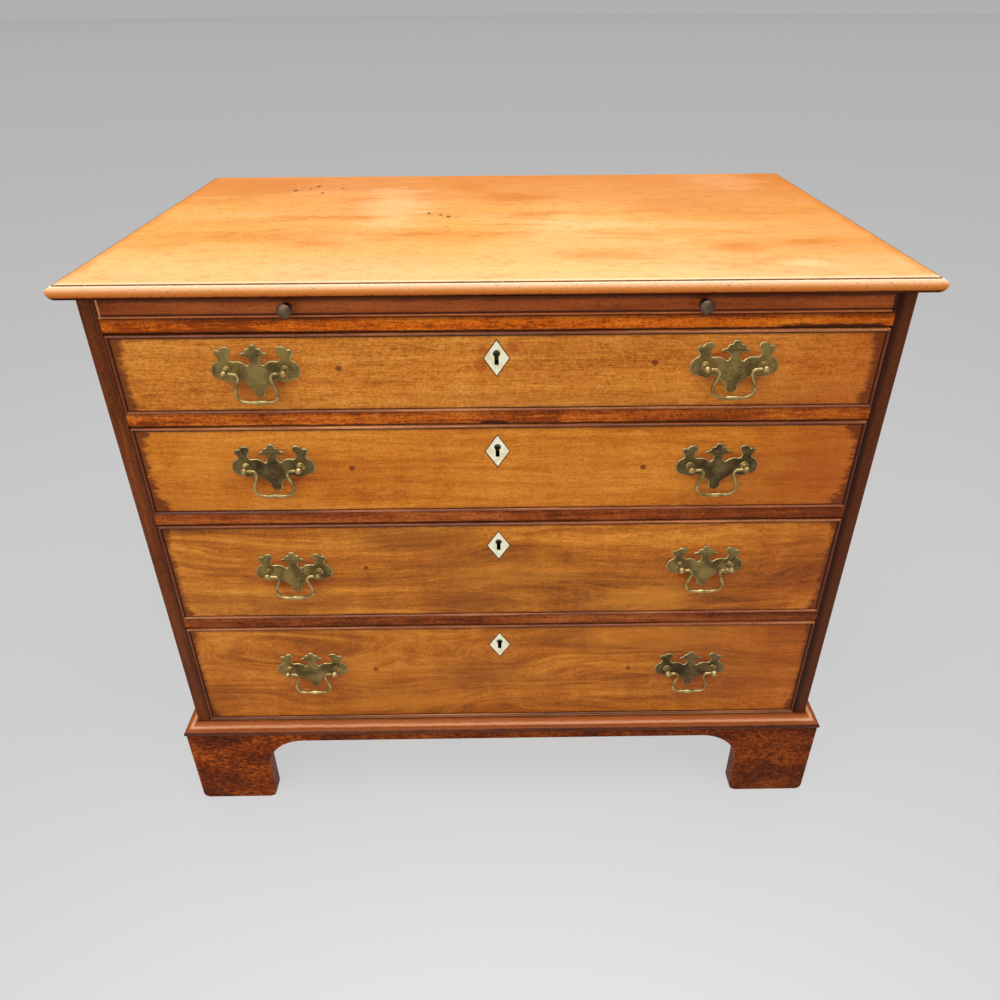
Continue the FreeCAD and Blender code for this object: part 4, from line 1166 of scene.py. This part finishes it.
def three_point_arc(start: Spot, via: Spot, end: Spot, steps: int) -> list[Spot]:
    """Points along the arc through three points, without its start.

    Args:
        start: The first point.
        via: A point on the way.
        end: The last point.
        steps: How many points to give.

    Returns:
        The points, the end last.
    """
    a, b, c = (complex(*spot) for spot in (start, via, end))
    skew = (c - a) / (b - a)
    centre = a + (b - a) * (skew - abs(skew) ** 2) / (2j * skew.imag)
    through, sweep = (cmath.phase((p - centre) / (a - centre)) % math.tau for p in (b, c))
    if through > sweep:
        sweep -= math.tau
    found = [centre + (a - centre) * cmath.exp(1j * sweep * k / steps)
             for k in range(1, steps + 1)]
    return [(p.real, p.imag) for p in found]


# --- Sub-assemblies ---


@dataclass
class Assembly:
    """Pieces that ride on one body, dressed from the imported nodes."""

    body: str

    def dress(self, node: str, name: str, slot: str, material: Material,
              arris: float, body: str | None = None) -> Piece:
        """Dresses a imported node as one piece, with its sharp corners rubbed round.

        Args:
            node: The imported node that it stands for.
            name: The piece's name.
            slot: The record's slot for its finish.
            material: Its finish.
            arris: How wide the rounding is.
            body: The body that carries it, where it isn't the assembly's own.

        Returns:
            The piece.
        """
        piece = rubbed(copy_of(frame["nodes"][node], name), arris)
        return fit(piece, body or self.body, slot, material, node)

    def dress_boards(self, node: str, names: Sequence[str], stand: str, slot: str,
                     finish: Callable[[str], Material], arris: float,
                     along: Point = (1, 0, 0), steps: int = 2) -> None:
        """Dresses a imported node's boards as pieces of their own.

        Args:
            node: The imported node.
            names: The boards' names, in the order in which they lie.
            stand: The name of the board that stands for the node.
            slot: The record's slot for their finish.
            finish: Gives a board's finish by its name.
            arris: How wide the rounding of their corners is.
            along: The direction in which they lie.
            steps: How many facets the rounding has.
        """
        source, parts = frame["nodes"][node], []
        for faces in shells(source.data):
            parts.append(copy_of(source, node + "_board"))
            keep_faces(parts[-1], faces)
        parts.sort(key=lambda piece: middle(piece).dot(along))
        for piece, name in zip(parts, names, strict=True):
            stands = (node,) if name == stand else ()
            fit(rubbed(named(piece, name), arris, steps), self.body, slot, finish(name), *stands)


@dataclass
class Case(Assembly):
    """The carcass: top, sides, rails, mouldings, plinth and what is inside."""

    body: str = "carcass"
    arris: float = 0.8

    def build(self) -> None:
        """Builds and dresses every piece of the case."""
        self.top_and_sides()
        self.rails()
        self.mouldings()
        self.plinth()
        self.back()
        self.inside()

    def top_and_sides(self) -> None:
        """The top board with its shaded underside, and the two sides, their grain upright."""
        top = self.dress("top_board", "top", "mahogany_top", TOP.material(ALONG_X), 0.5)
        second_finish(top, UNDERSIDE.material(ALONG_X), lambda f: f.normal.z < FACES_DOWN)
        for side in ("side_left", "side_right"):
            self.dress(side, f"case_{side}", "mahogany_case", CASE.material(ALONG_Z), self.arris)

    def rails(self) -> None:
        """The four rails between the drawers, each of its own tone."""
        woods = {f"rail_{n}": replace(RAIL, name=f"rail_mahogany_{n}",
                                      shift=(n * 1.7, 0.3, 0.6), **own)
                 for n, own in enumerate(RAILS, 1)}
        self.dress_boards("front_rails", sorted(woods, reverse=True), "rail_1", "mahogany_case",
                          lambda name: woods[name].material(ALONG_X), self.arris,
                          along=(0, 0, 1))

    def mouldings(self) -> None:
        """The base moulding, one front length and two returns."""
        grains = {"moulding_left": ALONG_Y, "moulding_front": ALONG_X,
                  "moulding_right": ALONG_Y}
        self.dress_boards("base_moulding", list(grains), "moulding_front", "mahogany_moulding",
                          lambda name: MOULD.material(grains[name]), 0.5)

    def plinth(self) -> None:
        """The plinth with its bracket feet, and its returns."""
        for node, name, grain in (("plinth_front", "plinth_face", ALONG_X),
                                  ("plinth_sides", "plinth_returns", ALONG_Y)):
            self.dress(node, name, "mahogany_plinth", PLINTH.material(grain), self.arris)

    def back(self) -> None:
        """The lapped back boards, each sawn from its own plank."""
        planks = {f"back_board_{n + 1}": replace(
            PINE, name=f"back_board_{n + 1}_pine", figure=0.35 + 0.12 * (n % 3),
            shift=(n * 1.7, n * 0.9, n * 2.3)) for n in range(4)}
        self.dress_boards("back_boards", list(planks), "back_board_1", "pine",
                          lambda name: planks[name].material(ALONG_Z), 0.6)

    def inside(self) -> None:
        """What is seen only with the drawers out."""
        for node, finish, grain in (("bottom_board", PINE, ALONG_X),
                                    ("dust_boards", PINE, ALONG_X),
                                    ("drawer_runners", OAK, ALONG_Y),
                                    ("drawer_stops", OAK, ALONG_X),
                                    ("foot_blocks", PINE, ALONG_Z)):
            repaint(node, finish.material(grain))


@dataclass
class BrushingSlide(Assembly):
    """The slide over the drawers: its panel, cleats and beaded lip, and two knobs."""

    body: str = "slide"
    knob_x: float = 215.0
    knob_z: float = 765.0
    knob_profile: tuple[Spot, ...] = (
        (0.0, -16.0), (2.0, -15.95), (3.8, -15.7), (5.8, -15.1), (7.0, -14.3), (7.8, -13.3),
        (8.0, -12.6), (7.8, -11.9), (7.0, -11.3), (5.4, -10.9), (4.3, -10.4), (3.7, -9.0),
        (3.4, -7.0), (3.5, -4.5), (3.9, -2.4), (4.8, -1.2), (5.4, 0.0), (0.0, 0.6))

    def build(self) -> None:
        """Builds and dresses the slide."""
        cleat = SLIDE.material(ALONG_Y)
        edges = {"slide_cleat_left": cleat, "slide_lip": LIP.material(ALONG_X),
                 "slide_cleat_right": cleat}
        self.dress("slide_panel", "slide_board", "mahogany_front", SLIDE.material(ALONG_X),
                   0.4)
        self.dress_boards("slide_edges", list(edges), "slide_lip", "mahogany_front",
                          edges.get, 0.5)
        self.knobs()

    def knobs(self) -> None:
        """Two small turned knobs, each with a domed face, a neck and a collar."""
        pattern = turned("knob_pattern", self.knob_profile, 0.0, 32, 40)
        for hand, x in (("left", -self.knob_x), ("right", self.knob_x)):
            knob = copied(pattern, f"slide_knob_{hand}", (FITTINGS_X + x, FRONT_Y, self.knob_z))
            stands = ("slide_knobs",) if hand == "left" else ()
            fit(knob, self.body, "bronze", BRONZE.material(), *stands)
        scrap(pattern)


BAT_WING_TOP = (0.0, 29.2)
BAT_WING_ARCS = (
    ((3.0, 28.8), (4.2, 26.4)), ((4.7, 25.2), (5.8, 24.8)), ((8.0, 24.2), (9.6, 21.6)),
    ((10.3, 20.5), (11.4, 20.0)), ((13.8, 19.2), (15.6, 16.8)), ((11.4, 16.4), (8.4, 15.2)),
    ((5.4, 11.6), (6.9, 6.9)), ((8.2, 5.6), (10.0, 6.1)), ((14.6, 9.4), (22.4, 10.0)),
    ((25.8, 10.6), (27.2, 12.8)), ((26.9, 16.2), (24.8, 19.6)), ((24.6, 25.0), (29.2, 27.1)),
    ((33.2, 26.0), (36.2, 22.8)), ((38.6, 23.4), (41.8, 21.8)), ((41.4, 17.4), (39.2, 14.4)),
    ((38.8, 12.2), (40.4, 10.2)), ((46.0, 5.4), (47.8, -1.0)), ((45.8, -8.0), (39.6, -11.4)),
    ((34.0, -13.6), (27.6, -14.8)), ((26.2, -14.2), (24.4, -12.9)),
    ((20.6, -12.7), (16.2, -14.4)), ((12.6, -17.4), (8.4, -21.4)), ((7.0, -23.2), (7.0, -25.0)),
    ((5.2, -30.4), (0, -33.4)))


@dataclass
class Handles:
    """Patterns of the swan-neck handle's pieces, each modelled once about its own middle."""

    plate_t: float = 1.3
    rim: float = 0.9
    filed: float = 0.6
    standoff: float = 11.0
    ball_r: float = 4.6
    drop: float = 34.0
    grip_half: float = 11.8
    bend_r: float = 11.0
    neck_r: float = 5.0
    lean: float = math.radians(20.0)
    wire_r: float = 1.9
    grip_r: float = 2.9
    swell: tuple[Spot, ...] = ((2.0, 2.86), (4.0, 2.68), (6.0, 2.38), (8.0, 2.06), (9.6, 1.9))
    past: float = 1.2
    nut: Point = (10.0, 3.5, 10.0)
    nut_y: float = 21.75
    nut_arris: float = 0.9
    turning: tuple[Spot, ...] = (
        (2.45, -6.9), (2.4, -5.2), (3.1, -5.0), (4.0, -4.6), (4.2, -4.0), (4.0, -3.4),
        (3.1, -3.1), (3.4, -3.0), (4.8, -2.6), (5.2, -2.1), (5.2, -1.3), (2.2, -1.3),
        (2.2, 25.0), (0.0, 25.0))

    def __post_init__(self) -> None:
        """Models the plate, post, nut and bail."""
        self.plate = self.make_plate()
        self.post = self.make_post()
        self.square_nut = self.make_nut()
        self.bail = self.make_bail()

    def make_plate(self) -> Piece:
        """The bat-wing back plate, its rim filed down and its face left flat."""
        half = [BAT_WING_TOP]
        for via, end in BAT_WING_ARCS:
            half += three_point_arc(half[-1], via, end, 5)
        outline = half + [(-x, z) for x, z in reversed(half[1:-1])]
        back = FRONT_Y * MM
        front = back - self.plate_t * MM
        piece = drawn("plate_pattern", [(x * MM, back, z * MM) for x, z in outline])
        edit(piece, close_face, outward, lengthen((0, -self.plate_t * MM, 0)),
             lambda: bpy.ops.mesh.inset(thickness=self.rim * MM, depth=0, use_even_offset=True))
        inner = {i for p in piece.data.polygons if len(p.vertices) > 20
                 and abs(p.center.y - front) < 1e-6 for i in p.vertices}
        for vertex in piece.data.vertices:
            if abs(vertex.co.y - front) < 1e-6 and vertex.index not in inner:
                vertex.co.y += self.filed * MM
        edit(piece, outward)
        bpy.ops.object.shade_flat()
        return piece

    def make_post(self) -> Piece:
        """A turned post: ball, neck, ring, flange, and a shank through the drawer front."""
        turns = [math.radians(a) for a in range(-78, 56, 12)]
        ball = [(self.ball_r * math.cos(a), self.ball_r * math.sin(a) - self.standoff)
                for a in turns]
        return turned("post_pattern", ((0.0, -self.ball_r - self.standoff), *ball,
                                       *self.turning), FRONT_Y, 24, 42)

    def make_nut(self) -> Piece:
        """A square nut with its corners filed off."""
        take_up()
        bpy.ops.mesh.primitive_cube_add(size=1, location=(0, (FRONT_Y + self.nut_y) * MM, 0),
                                        scale=Vector(self.nut) * MM)
        piece = settle(named(bpy.context.active_object, "nut_pattern"))
        apply(piece, "BEVEL", width=self.nut_arris * MM, segments=2)
        smooth(piece, 35)
        return piece

    def make_bail(self) -> Piece:
        """The bent wire with a swollen grip, one half drawn and then mirrored."""
        y = (FRONT_Y - self.standoff) * MM
        take_up()
        bpy.ops.mesh.primitive_circle_add(
            vertices=16, radius=self.grip_r * MM, fill_type="NOTHING",
            location=(0, y, -self.drop * MM), rotation=(0, math.pi / 2, 0))
        piece = settle(named(bpy.context.active_object, "bail_pattern"))
        arm_x = self.grip_half + self.bend_r * math.cos(self.lean)
        arm_z = self.bend_r - self.drop + self.bend_r * math.sin(self.lean)
        rise = -self.neck_r * (1 + math.sin(self.lean)) - arm_z
        top_x = arm_x - rise * math.tan(self.lean)
        neck_x = top_x + self.neck_r * math.cos(self.lean)
        steps: list[Step] = []
        before_x, before_r = 0.0, self.grip_r
        for x, radius in (*self.swell, (self.grip_half, self.wire_r)):
            steps += [lengthen(((x - before_x) * MM, 0, 0)),
                      self._thin(radius / before_r, (x * MM, y, -self.drop * MM))]
            before_x, before_r = x, radius
        steps += [self._bend(10, 1, (self.grip_half * MM, y, (self.bend_r - self.drop) * MM)),
                  lengthen(((top_x - arm_x) * MM, 0, rise * MM)),
                  self._bend(8, -1, (neck_x * MM, y, -self.neck_r * MM)),
                  lengthen(((POST_HALF + self.past - neck_x) * MM, 0, 0)), close_face]
        edit(piece, *steps)
        apply(piece, "MIRROR", use_axis=(True, False, False), use_clip=True,
              merge_threshold=1e-5)
        edit(piece, weld, outward)
        smooth(piece, 45)
        return piece

    def _bend(self, steps: int, way: int, centre: Point) -> Step:
        """A step that bends the wire's end on, round a centre."""
        return lambda: bpy.ops.mesh.spin(steps=steps, angle=math.pi / 2 + self.lean,
                                         axis=(0, way, 0), center=centre)

    @staticmethod
    def _thin(share: float, centre: Point) -> Step:
        """A step that scales the wire's end about its own middle."""
        return lambda: bpy.ops.transform.resize(value=(share,) * 3, center_override=centre)

    def scrap(self) -> None:
        """Throws the patterns away."""
        scrap(self.plate, self.post, self.square_nut, self.bail)


@dataclass
class Drawer(Assembly):
    """One long drawer with its front, box, beads, keyhole plate, lock and two handles."""

    number: int
    timber: FrontTimber
    dark_plates: tuple[str, ...] = ()

    def build(self, handles: Handles) -> None:
        """Builds and dresses the drawer.

        Args:
            handles: The patterns of the handles' pieces.
        """
        self.box()
        self.face()
        for (x, z), hand in zip(self.timber.handles, ("left", "right")):
            self.handle(handles, hand, x, z)

    def box(self) -> None:
        """The oak sides, back and bottom."""
        box, across = self.body, OAK.material(ALONG_X)
        side = OAK.material(ALONG_Y)
        sides = {f"{box}_side_left": side, f"{box}_back": across, f"{box}_side_right": side}
        self.dress_boards(f"{box}_sides", list(sides), f"{box}_back", "oak", sides.get, 0.4)
        repaint(f"{box}_bottom", across)

    def face(self) -> None:
        """The front, its cock beads, its keyhole plate, and the lock with its bolt behind."""
        box, level = self.body, BEAD.material(ALONG_X)
        upright = SIDE_BEAD.material(ALONG_Z)
        self.dress(f"{box}_front", f"{box}_face", "mahogany_front",
                   self.timber.material(ALONG_X), 0.4)
        beads = {f"{box}_bead_bottom": level, f"{box}_bead_left": upright,
                 f"{box}_bead_right": upright, f"{box}_bead_top": level}
        self.dress_boards(f"{box}_cock_beads", list(beads), f"{box}_bead_top", "mahogany_case",
                          beads.get, 1.1, along=(0.001, 0, 1), steps=3)
        self.dress(f"{box}_keyhole_plate", f"{box}_bone", "bone", BONE.material(), 0.3)
        self.dress(f"{box}_lock", f"{box}_lock_case", "brass_plate", LOCK_BRASS.material(), 0.3)
        self.dress(f"{box}_lock_bolt", f"{box}_bolt", "steel", STEEL.material(), 0.5,
                   f"lock_bolt_{self.number}")

    def handle(self, handles: Handles, hand: str, x: float, z: float) -> None:
        """A bat-wing plate, two posts with their nuts, and a bail.

        Args:
            handles: The patterns.
            hand: Left or right.
            x: Where its middle is.
            z: How high its posts are.
        """
        left = hand == "left"
        plate = copied(handles.plate, f"{self.body}_plate_{hand}", (x, 0, z))
        brass = DARK_BRASS if hand in self.dark_plates else PLATE_BRASS
        fit(plate, self.body, "brass_plate", brass.material(),
            *((f"{self.body}_handle_plates",) if left else ()))
        low, high = RIM_SLOPE
        second_finish(plate, RIM_BRASS.material(), lambda f: low < f.normal.y < high)
        for place, step in (("a", -POST_HALF), ("b", POST_HALF)):
            at = (x + step, 0, z)
            post = copied(handles.post, f"{self.body}_post_{hand}_{place}", at)
            fit(post, self.body, "brass_bright", BRIGHT_BRASS.material(),
                *((f"{self.body}_handle_posts",) if left and step < 0 else ()))
            nut = copied(handles.square_nut, f"{self.body}_nut_{hand}_{place}", at)
            fit(nut, self.body, "brass_bright", LOCK_BRASS.material())
        bail = copied(handles.bail, f"{self.body}_bail_wire_{hand}", (x, 0, z))
        fit(bail, f"bail_{hand}_{self.number}", "brass_bright", BRIGHT_BRASS.material(),
            f"{self.body}_bail_{hand}")


@dataclass
class Studio:
    """The pale floor, the soft light and the camera; its sizes are in metres."""

    lens: float = 27.58
    shift: Spot = (-0.0041, -0.070)
    eye: Point = (-0.00211, -0.99802, 1.04033)
    pitch: float = math.radians(29.41)
    yaw: float = math.radians(-0.51)
    roll: float = math.radians(-0.35)
    sensor: float = 36.0
    clip: Spot = (0.01, 500.0)
    far: float = 60.0
    wall: float = 30.0
    floor_z: float = -0.0004
    sides: int = 96
    floor_paint: Shade = Shade(84, 84, 84)
    wall_glow: float = 0.036
    glow: tuple[Spot, ...] = (
        (0.119, 210), (0.174, 203), (0.276, 187), (0.434, 172), (0.645, 167), (0.96, 160))
    horizon: Shade = Shade(175.24, 175.24, 175.24)
    zenith: Shade = Shade(255, 253.88, 251.61)
    lamps: tuple[tuple[str, Point, float, Spot, float], ...] = (
        ("overhead", (0.0, -0.5, 3.4), 0.6, (3.2, 2.6), 110),
        ("front_fill", (-1.5, -3.8, 1.8), 0.4, (3.4, 2.2), 45),
        ("window_left", (-1.1, 4.6, 2.1), 0.8, (1.0, 1.6), 3),
        ("window_right", (1.0, 4.6, 2.1), 0.8, (1.4, 1.6), 3))

    def build(self) -> None:
        """Sets up the studio."""
        self.camera()
        self.floor()
        self.sky()
        for lamp in self.lamps:
            self.softbox(*lamp)

    def camera(self) -> None:
        """A camera above the chest's front, looking down on it."""
        data = bpy.data.cameras.new("camera")
        data.lens, data.sensor_width = self.lens, self.sensor
        data.shift_x, data.shift_y = self.shift
        data.clip_start, data.clip_end = self.clip
        camera = bpy.data.objects.new("camera", data)
        bpy.context.scene.collection.objects.link(camera)
        turn = (Matrix.Rotation(self.yaw, 4, "Z")
                @ Matrix.Rotation(math.pi / 2 - self.pitch, 4, "X")
                @ Matrix.Rotation(self.roll, 4, "Z"))
        camera.matrix_world = Matrix.Translation(self.eye) @ turn
        bpy.context.scene.camera = camera

    def floor(self) -> None:
        """A wide pale floor and a far round wall, which dim together with distance."""
        bench = Bench(bpy.data.materials.new("floor_paint"))
        reach = bench.reach((0.0, -1000.0, 0.0), (1.0, 1.0, 0.0))
        far = bench.node("Math", {"operation": "LOGARITHM"}, {0: reach, 1: 10.0})
        glow = bench.ramp(far * 0.4 - 0.95, *((at, Shade(g, g, g)) for at, g in self.glow))
        bench.colour, bench.roughness = self.floor_paint, 0.9
        paint = bench.finish(sockets={
            "Specular IOR Level": 0.0, "Emission Strength": 1.0,
            "Emission Color": glow + bench.z.rise(0, 20) * self.wall_glow})
        take_up()
        bpy.ops.mesh.primitive_circle_add(vertices=self.sides, radius=self.far,
                                          fill_type="NGON", location=(0, 0, self.floor_z))
        floor = named(bpy.context.active_object, "floor")
        take_up()
        bpy.ops.mesh.primitive_cylinder_add(
            vertices=self.sides, radius=self.far, depth=self.wall, end_fill_type="NOTHING",
            location=(0, 0, self.wall / 2))
        for piece in (floor, named(bpy.context.active_object, "wall")):
            settle(piece).data.materials.append(paint)

    def sky(self) -> None:
        """Soft light all round: dim at the horizon and bright overhead."""
        world = bpy.context.scene.world = bpy.data.worlds.new("studio")
        bench = Bench(world, "Generated")
        light = bench.ramp(bench.parts(bench.place)[2], (0.02, self.horizon),
                           (0.85, self.zenith))
        shade = bench.node("Background", {}, {0: light, 1: 1.0})
        bench.node("OutputWorld", {}, {0: shade})

    def softbox(self, name: str, place: Point, aim: float, size: Spot, power: float) -> None:
        """One rectangular lamp that faces the chest.

        Args:
            name: Its name.
            place: Where it stands.
            aim: The height that it faces.
            size: Its width and height.
            power: Its power in watts.
        """
        data = bpy.data.lights.new(name, "AREA")
        data.shape, (data.size, data.size_y), data.energy = "RECTANGLE", size, power
        lamp = bpy.data.objects.new(name, data)
        bpy.context.scene.collection.objects.link(lamp)
        lamp.location = place
        lamp.rotation_euler = (Vector((0, 0, aim)) - lamp.location).to_track_quat(
            "-Z", "Y").to_euler()
        lamp.visible_camera = False


def drawer_list() -> list[Drawer]:
    """The four drawers, each front with its own board of mahogany."""
    one = FrontTimber(
        "front_1", Shade(150, 74, 16), Shade(198, 120, 38), Shade(222, 152, 66),
        figure=0.36, ribbon=0.30, fibre=0.75, low=641.8, high=735.6, key_z=705.2,
        handles=((-261.0, 694.8), (252.7, 694.8)), plugs=((-172.5, 695.4), (167.0, 698.6)),
        stains=((-20, 697, 9), (-17, 714, 5), (14, 716, 8)), shift=(0.3, 0.1, 0.7),
        patches=((60, 654, 150, 13, 0.34), (330, 656, 80, 18, 0.42), (236, 648, 50, 14, 0.2),
                 (-245, 653, 45, 12, 0.3), (170, 722, 60, 10, 0.25)))
    two = FrontTimber(
        "front_2", Shade(144, 66, 10), Shade(193, 112, 28), Shade(220, 146, 54),
        figure=0.42, ribbon=0.40, fibre=0.5, pores=0.35, low=506.8, high=624.1, key_z=589.5,
        handles=((-260.7, 572.9), (250.6, 568.0)), plugs=((-171.2, 569.0), (165.3, 566.1)),
        old_polish=8.0, corner=13.0, tooth=40.0, shift=(1.3, 0.4, 0.1), wander=0.04,
        patches=((-313, 566, 45, 18, -0.25), (-340, 524, 75, 16, 0.25),
                 (300, 524, 120, 22, 0.42), (350, 567, 62, 30, 0.5), (95, 560, 80, 30, 0.2),
                 (250, 514, 50, 15, 0.35)))
    three = FrontTimber(
        "front_3", Shade(108, 54, 15), Shade(174, 98, 26), Shade(222, 144, 50),
        figure=0.55, fibre=0.4, pores=0.3, low=340.8, high=489.1, key_z=454.5,
        handles=((-258.3, 418.6), (254.4, 421.3)), plugs=((-168.9, 421.6),),
        old_polish=8.5, right_tone_and_shade=0.25, shift=(2.3, 0.2, 1.1), wander=0.11,
        patches=((-115, 466, 65, 18, 0.55), (20, 408, 75, 20, -0.3), (-310, 364, 120, 22, 0.35),
                 (-22, 364, 75, 22, 0.6), (190, 366, 90, 22, -0.4)))
    four = FrontTimber(
        "front_4", Shade(102, 50, 12), Shade(164, 88, 20), Shade(206, 128, 42),
        figure=0.62, fibre=0.4, pores=0.3, low=152.3, high=323.1, key_z=288.5,
        handles=((-256.7, 249.1), (255.8, 242.3)), plugs=((-171.7, 246.0), (172.0, 241.7)),
        old_polish=7.0, right_tone_and_shade=0.3, shift=(4.3, 0.9, 0.3), wander=0.17,
        patches=((210, 299, 150, 24, -0.35), (-30, 238, 65, 28, 0.45), (305, 236, 80, 24, 0.3),
                 (-190, 236, 40, 22, -0.3), (-125, 178, 80, 24, -0.4)))
    dark_plates = {2: ("left", "right"), 4: ("right",)}
    return [Drawer(f"drawer_{n}", n, timber, dark_plates.get(n, ()))
            for n, timber in enumerate((one, two, three, four), 1)]


def main() -> None:
    """Builds the chest and the studio round it."""
    logging.basicConfig(level=logging.INFO, format="%(name)s: %(message)s")
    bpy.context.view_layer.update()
    bpy.context.scene.view_settings.view_transform = "Standard"
    Studio().build()
    Case().build()
    BrushingSlide().build()
    handles = Handles()
    for drawer in drawer_list():
        drawer.build(handles)
    handles.scrap()


if __name__ == "__main__":
    main()
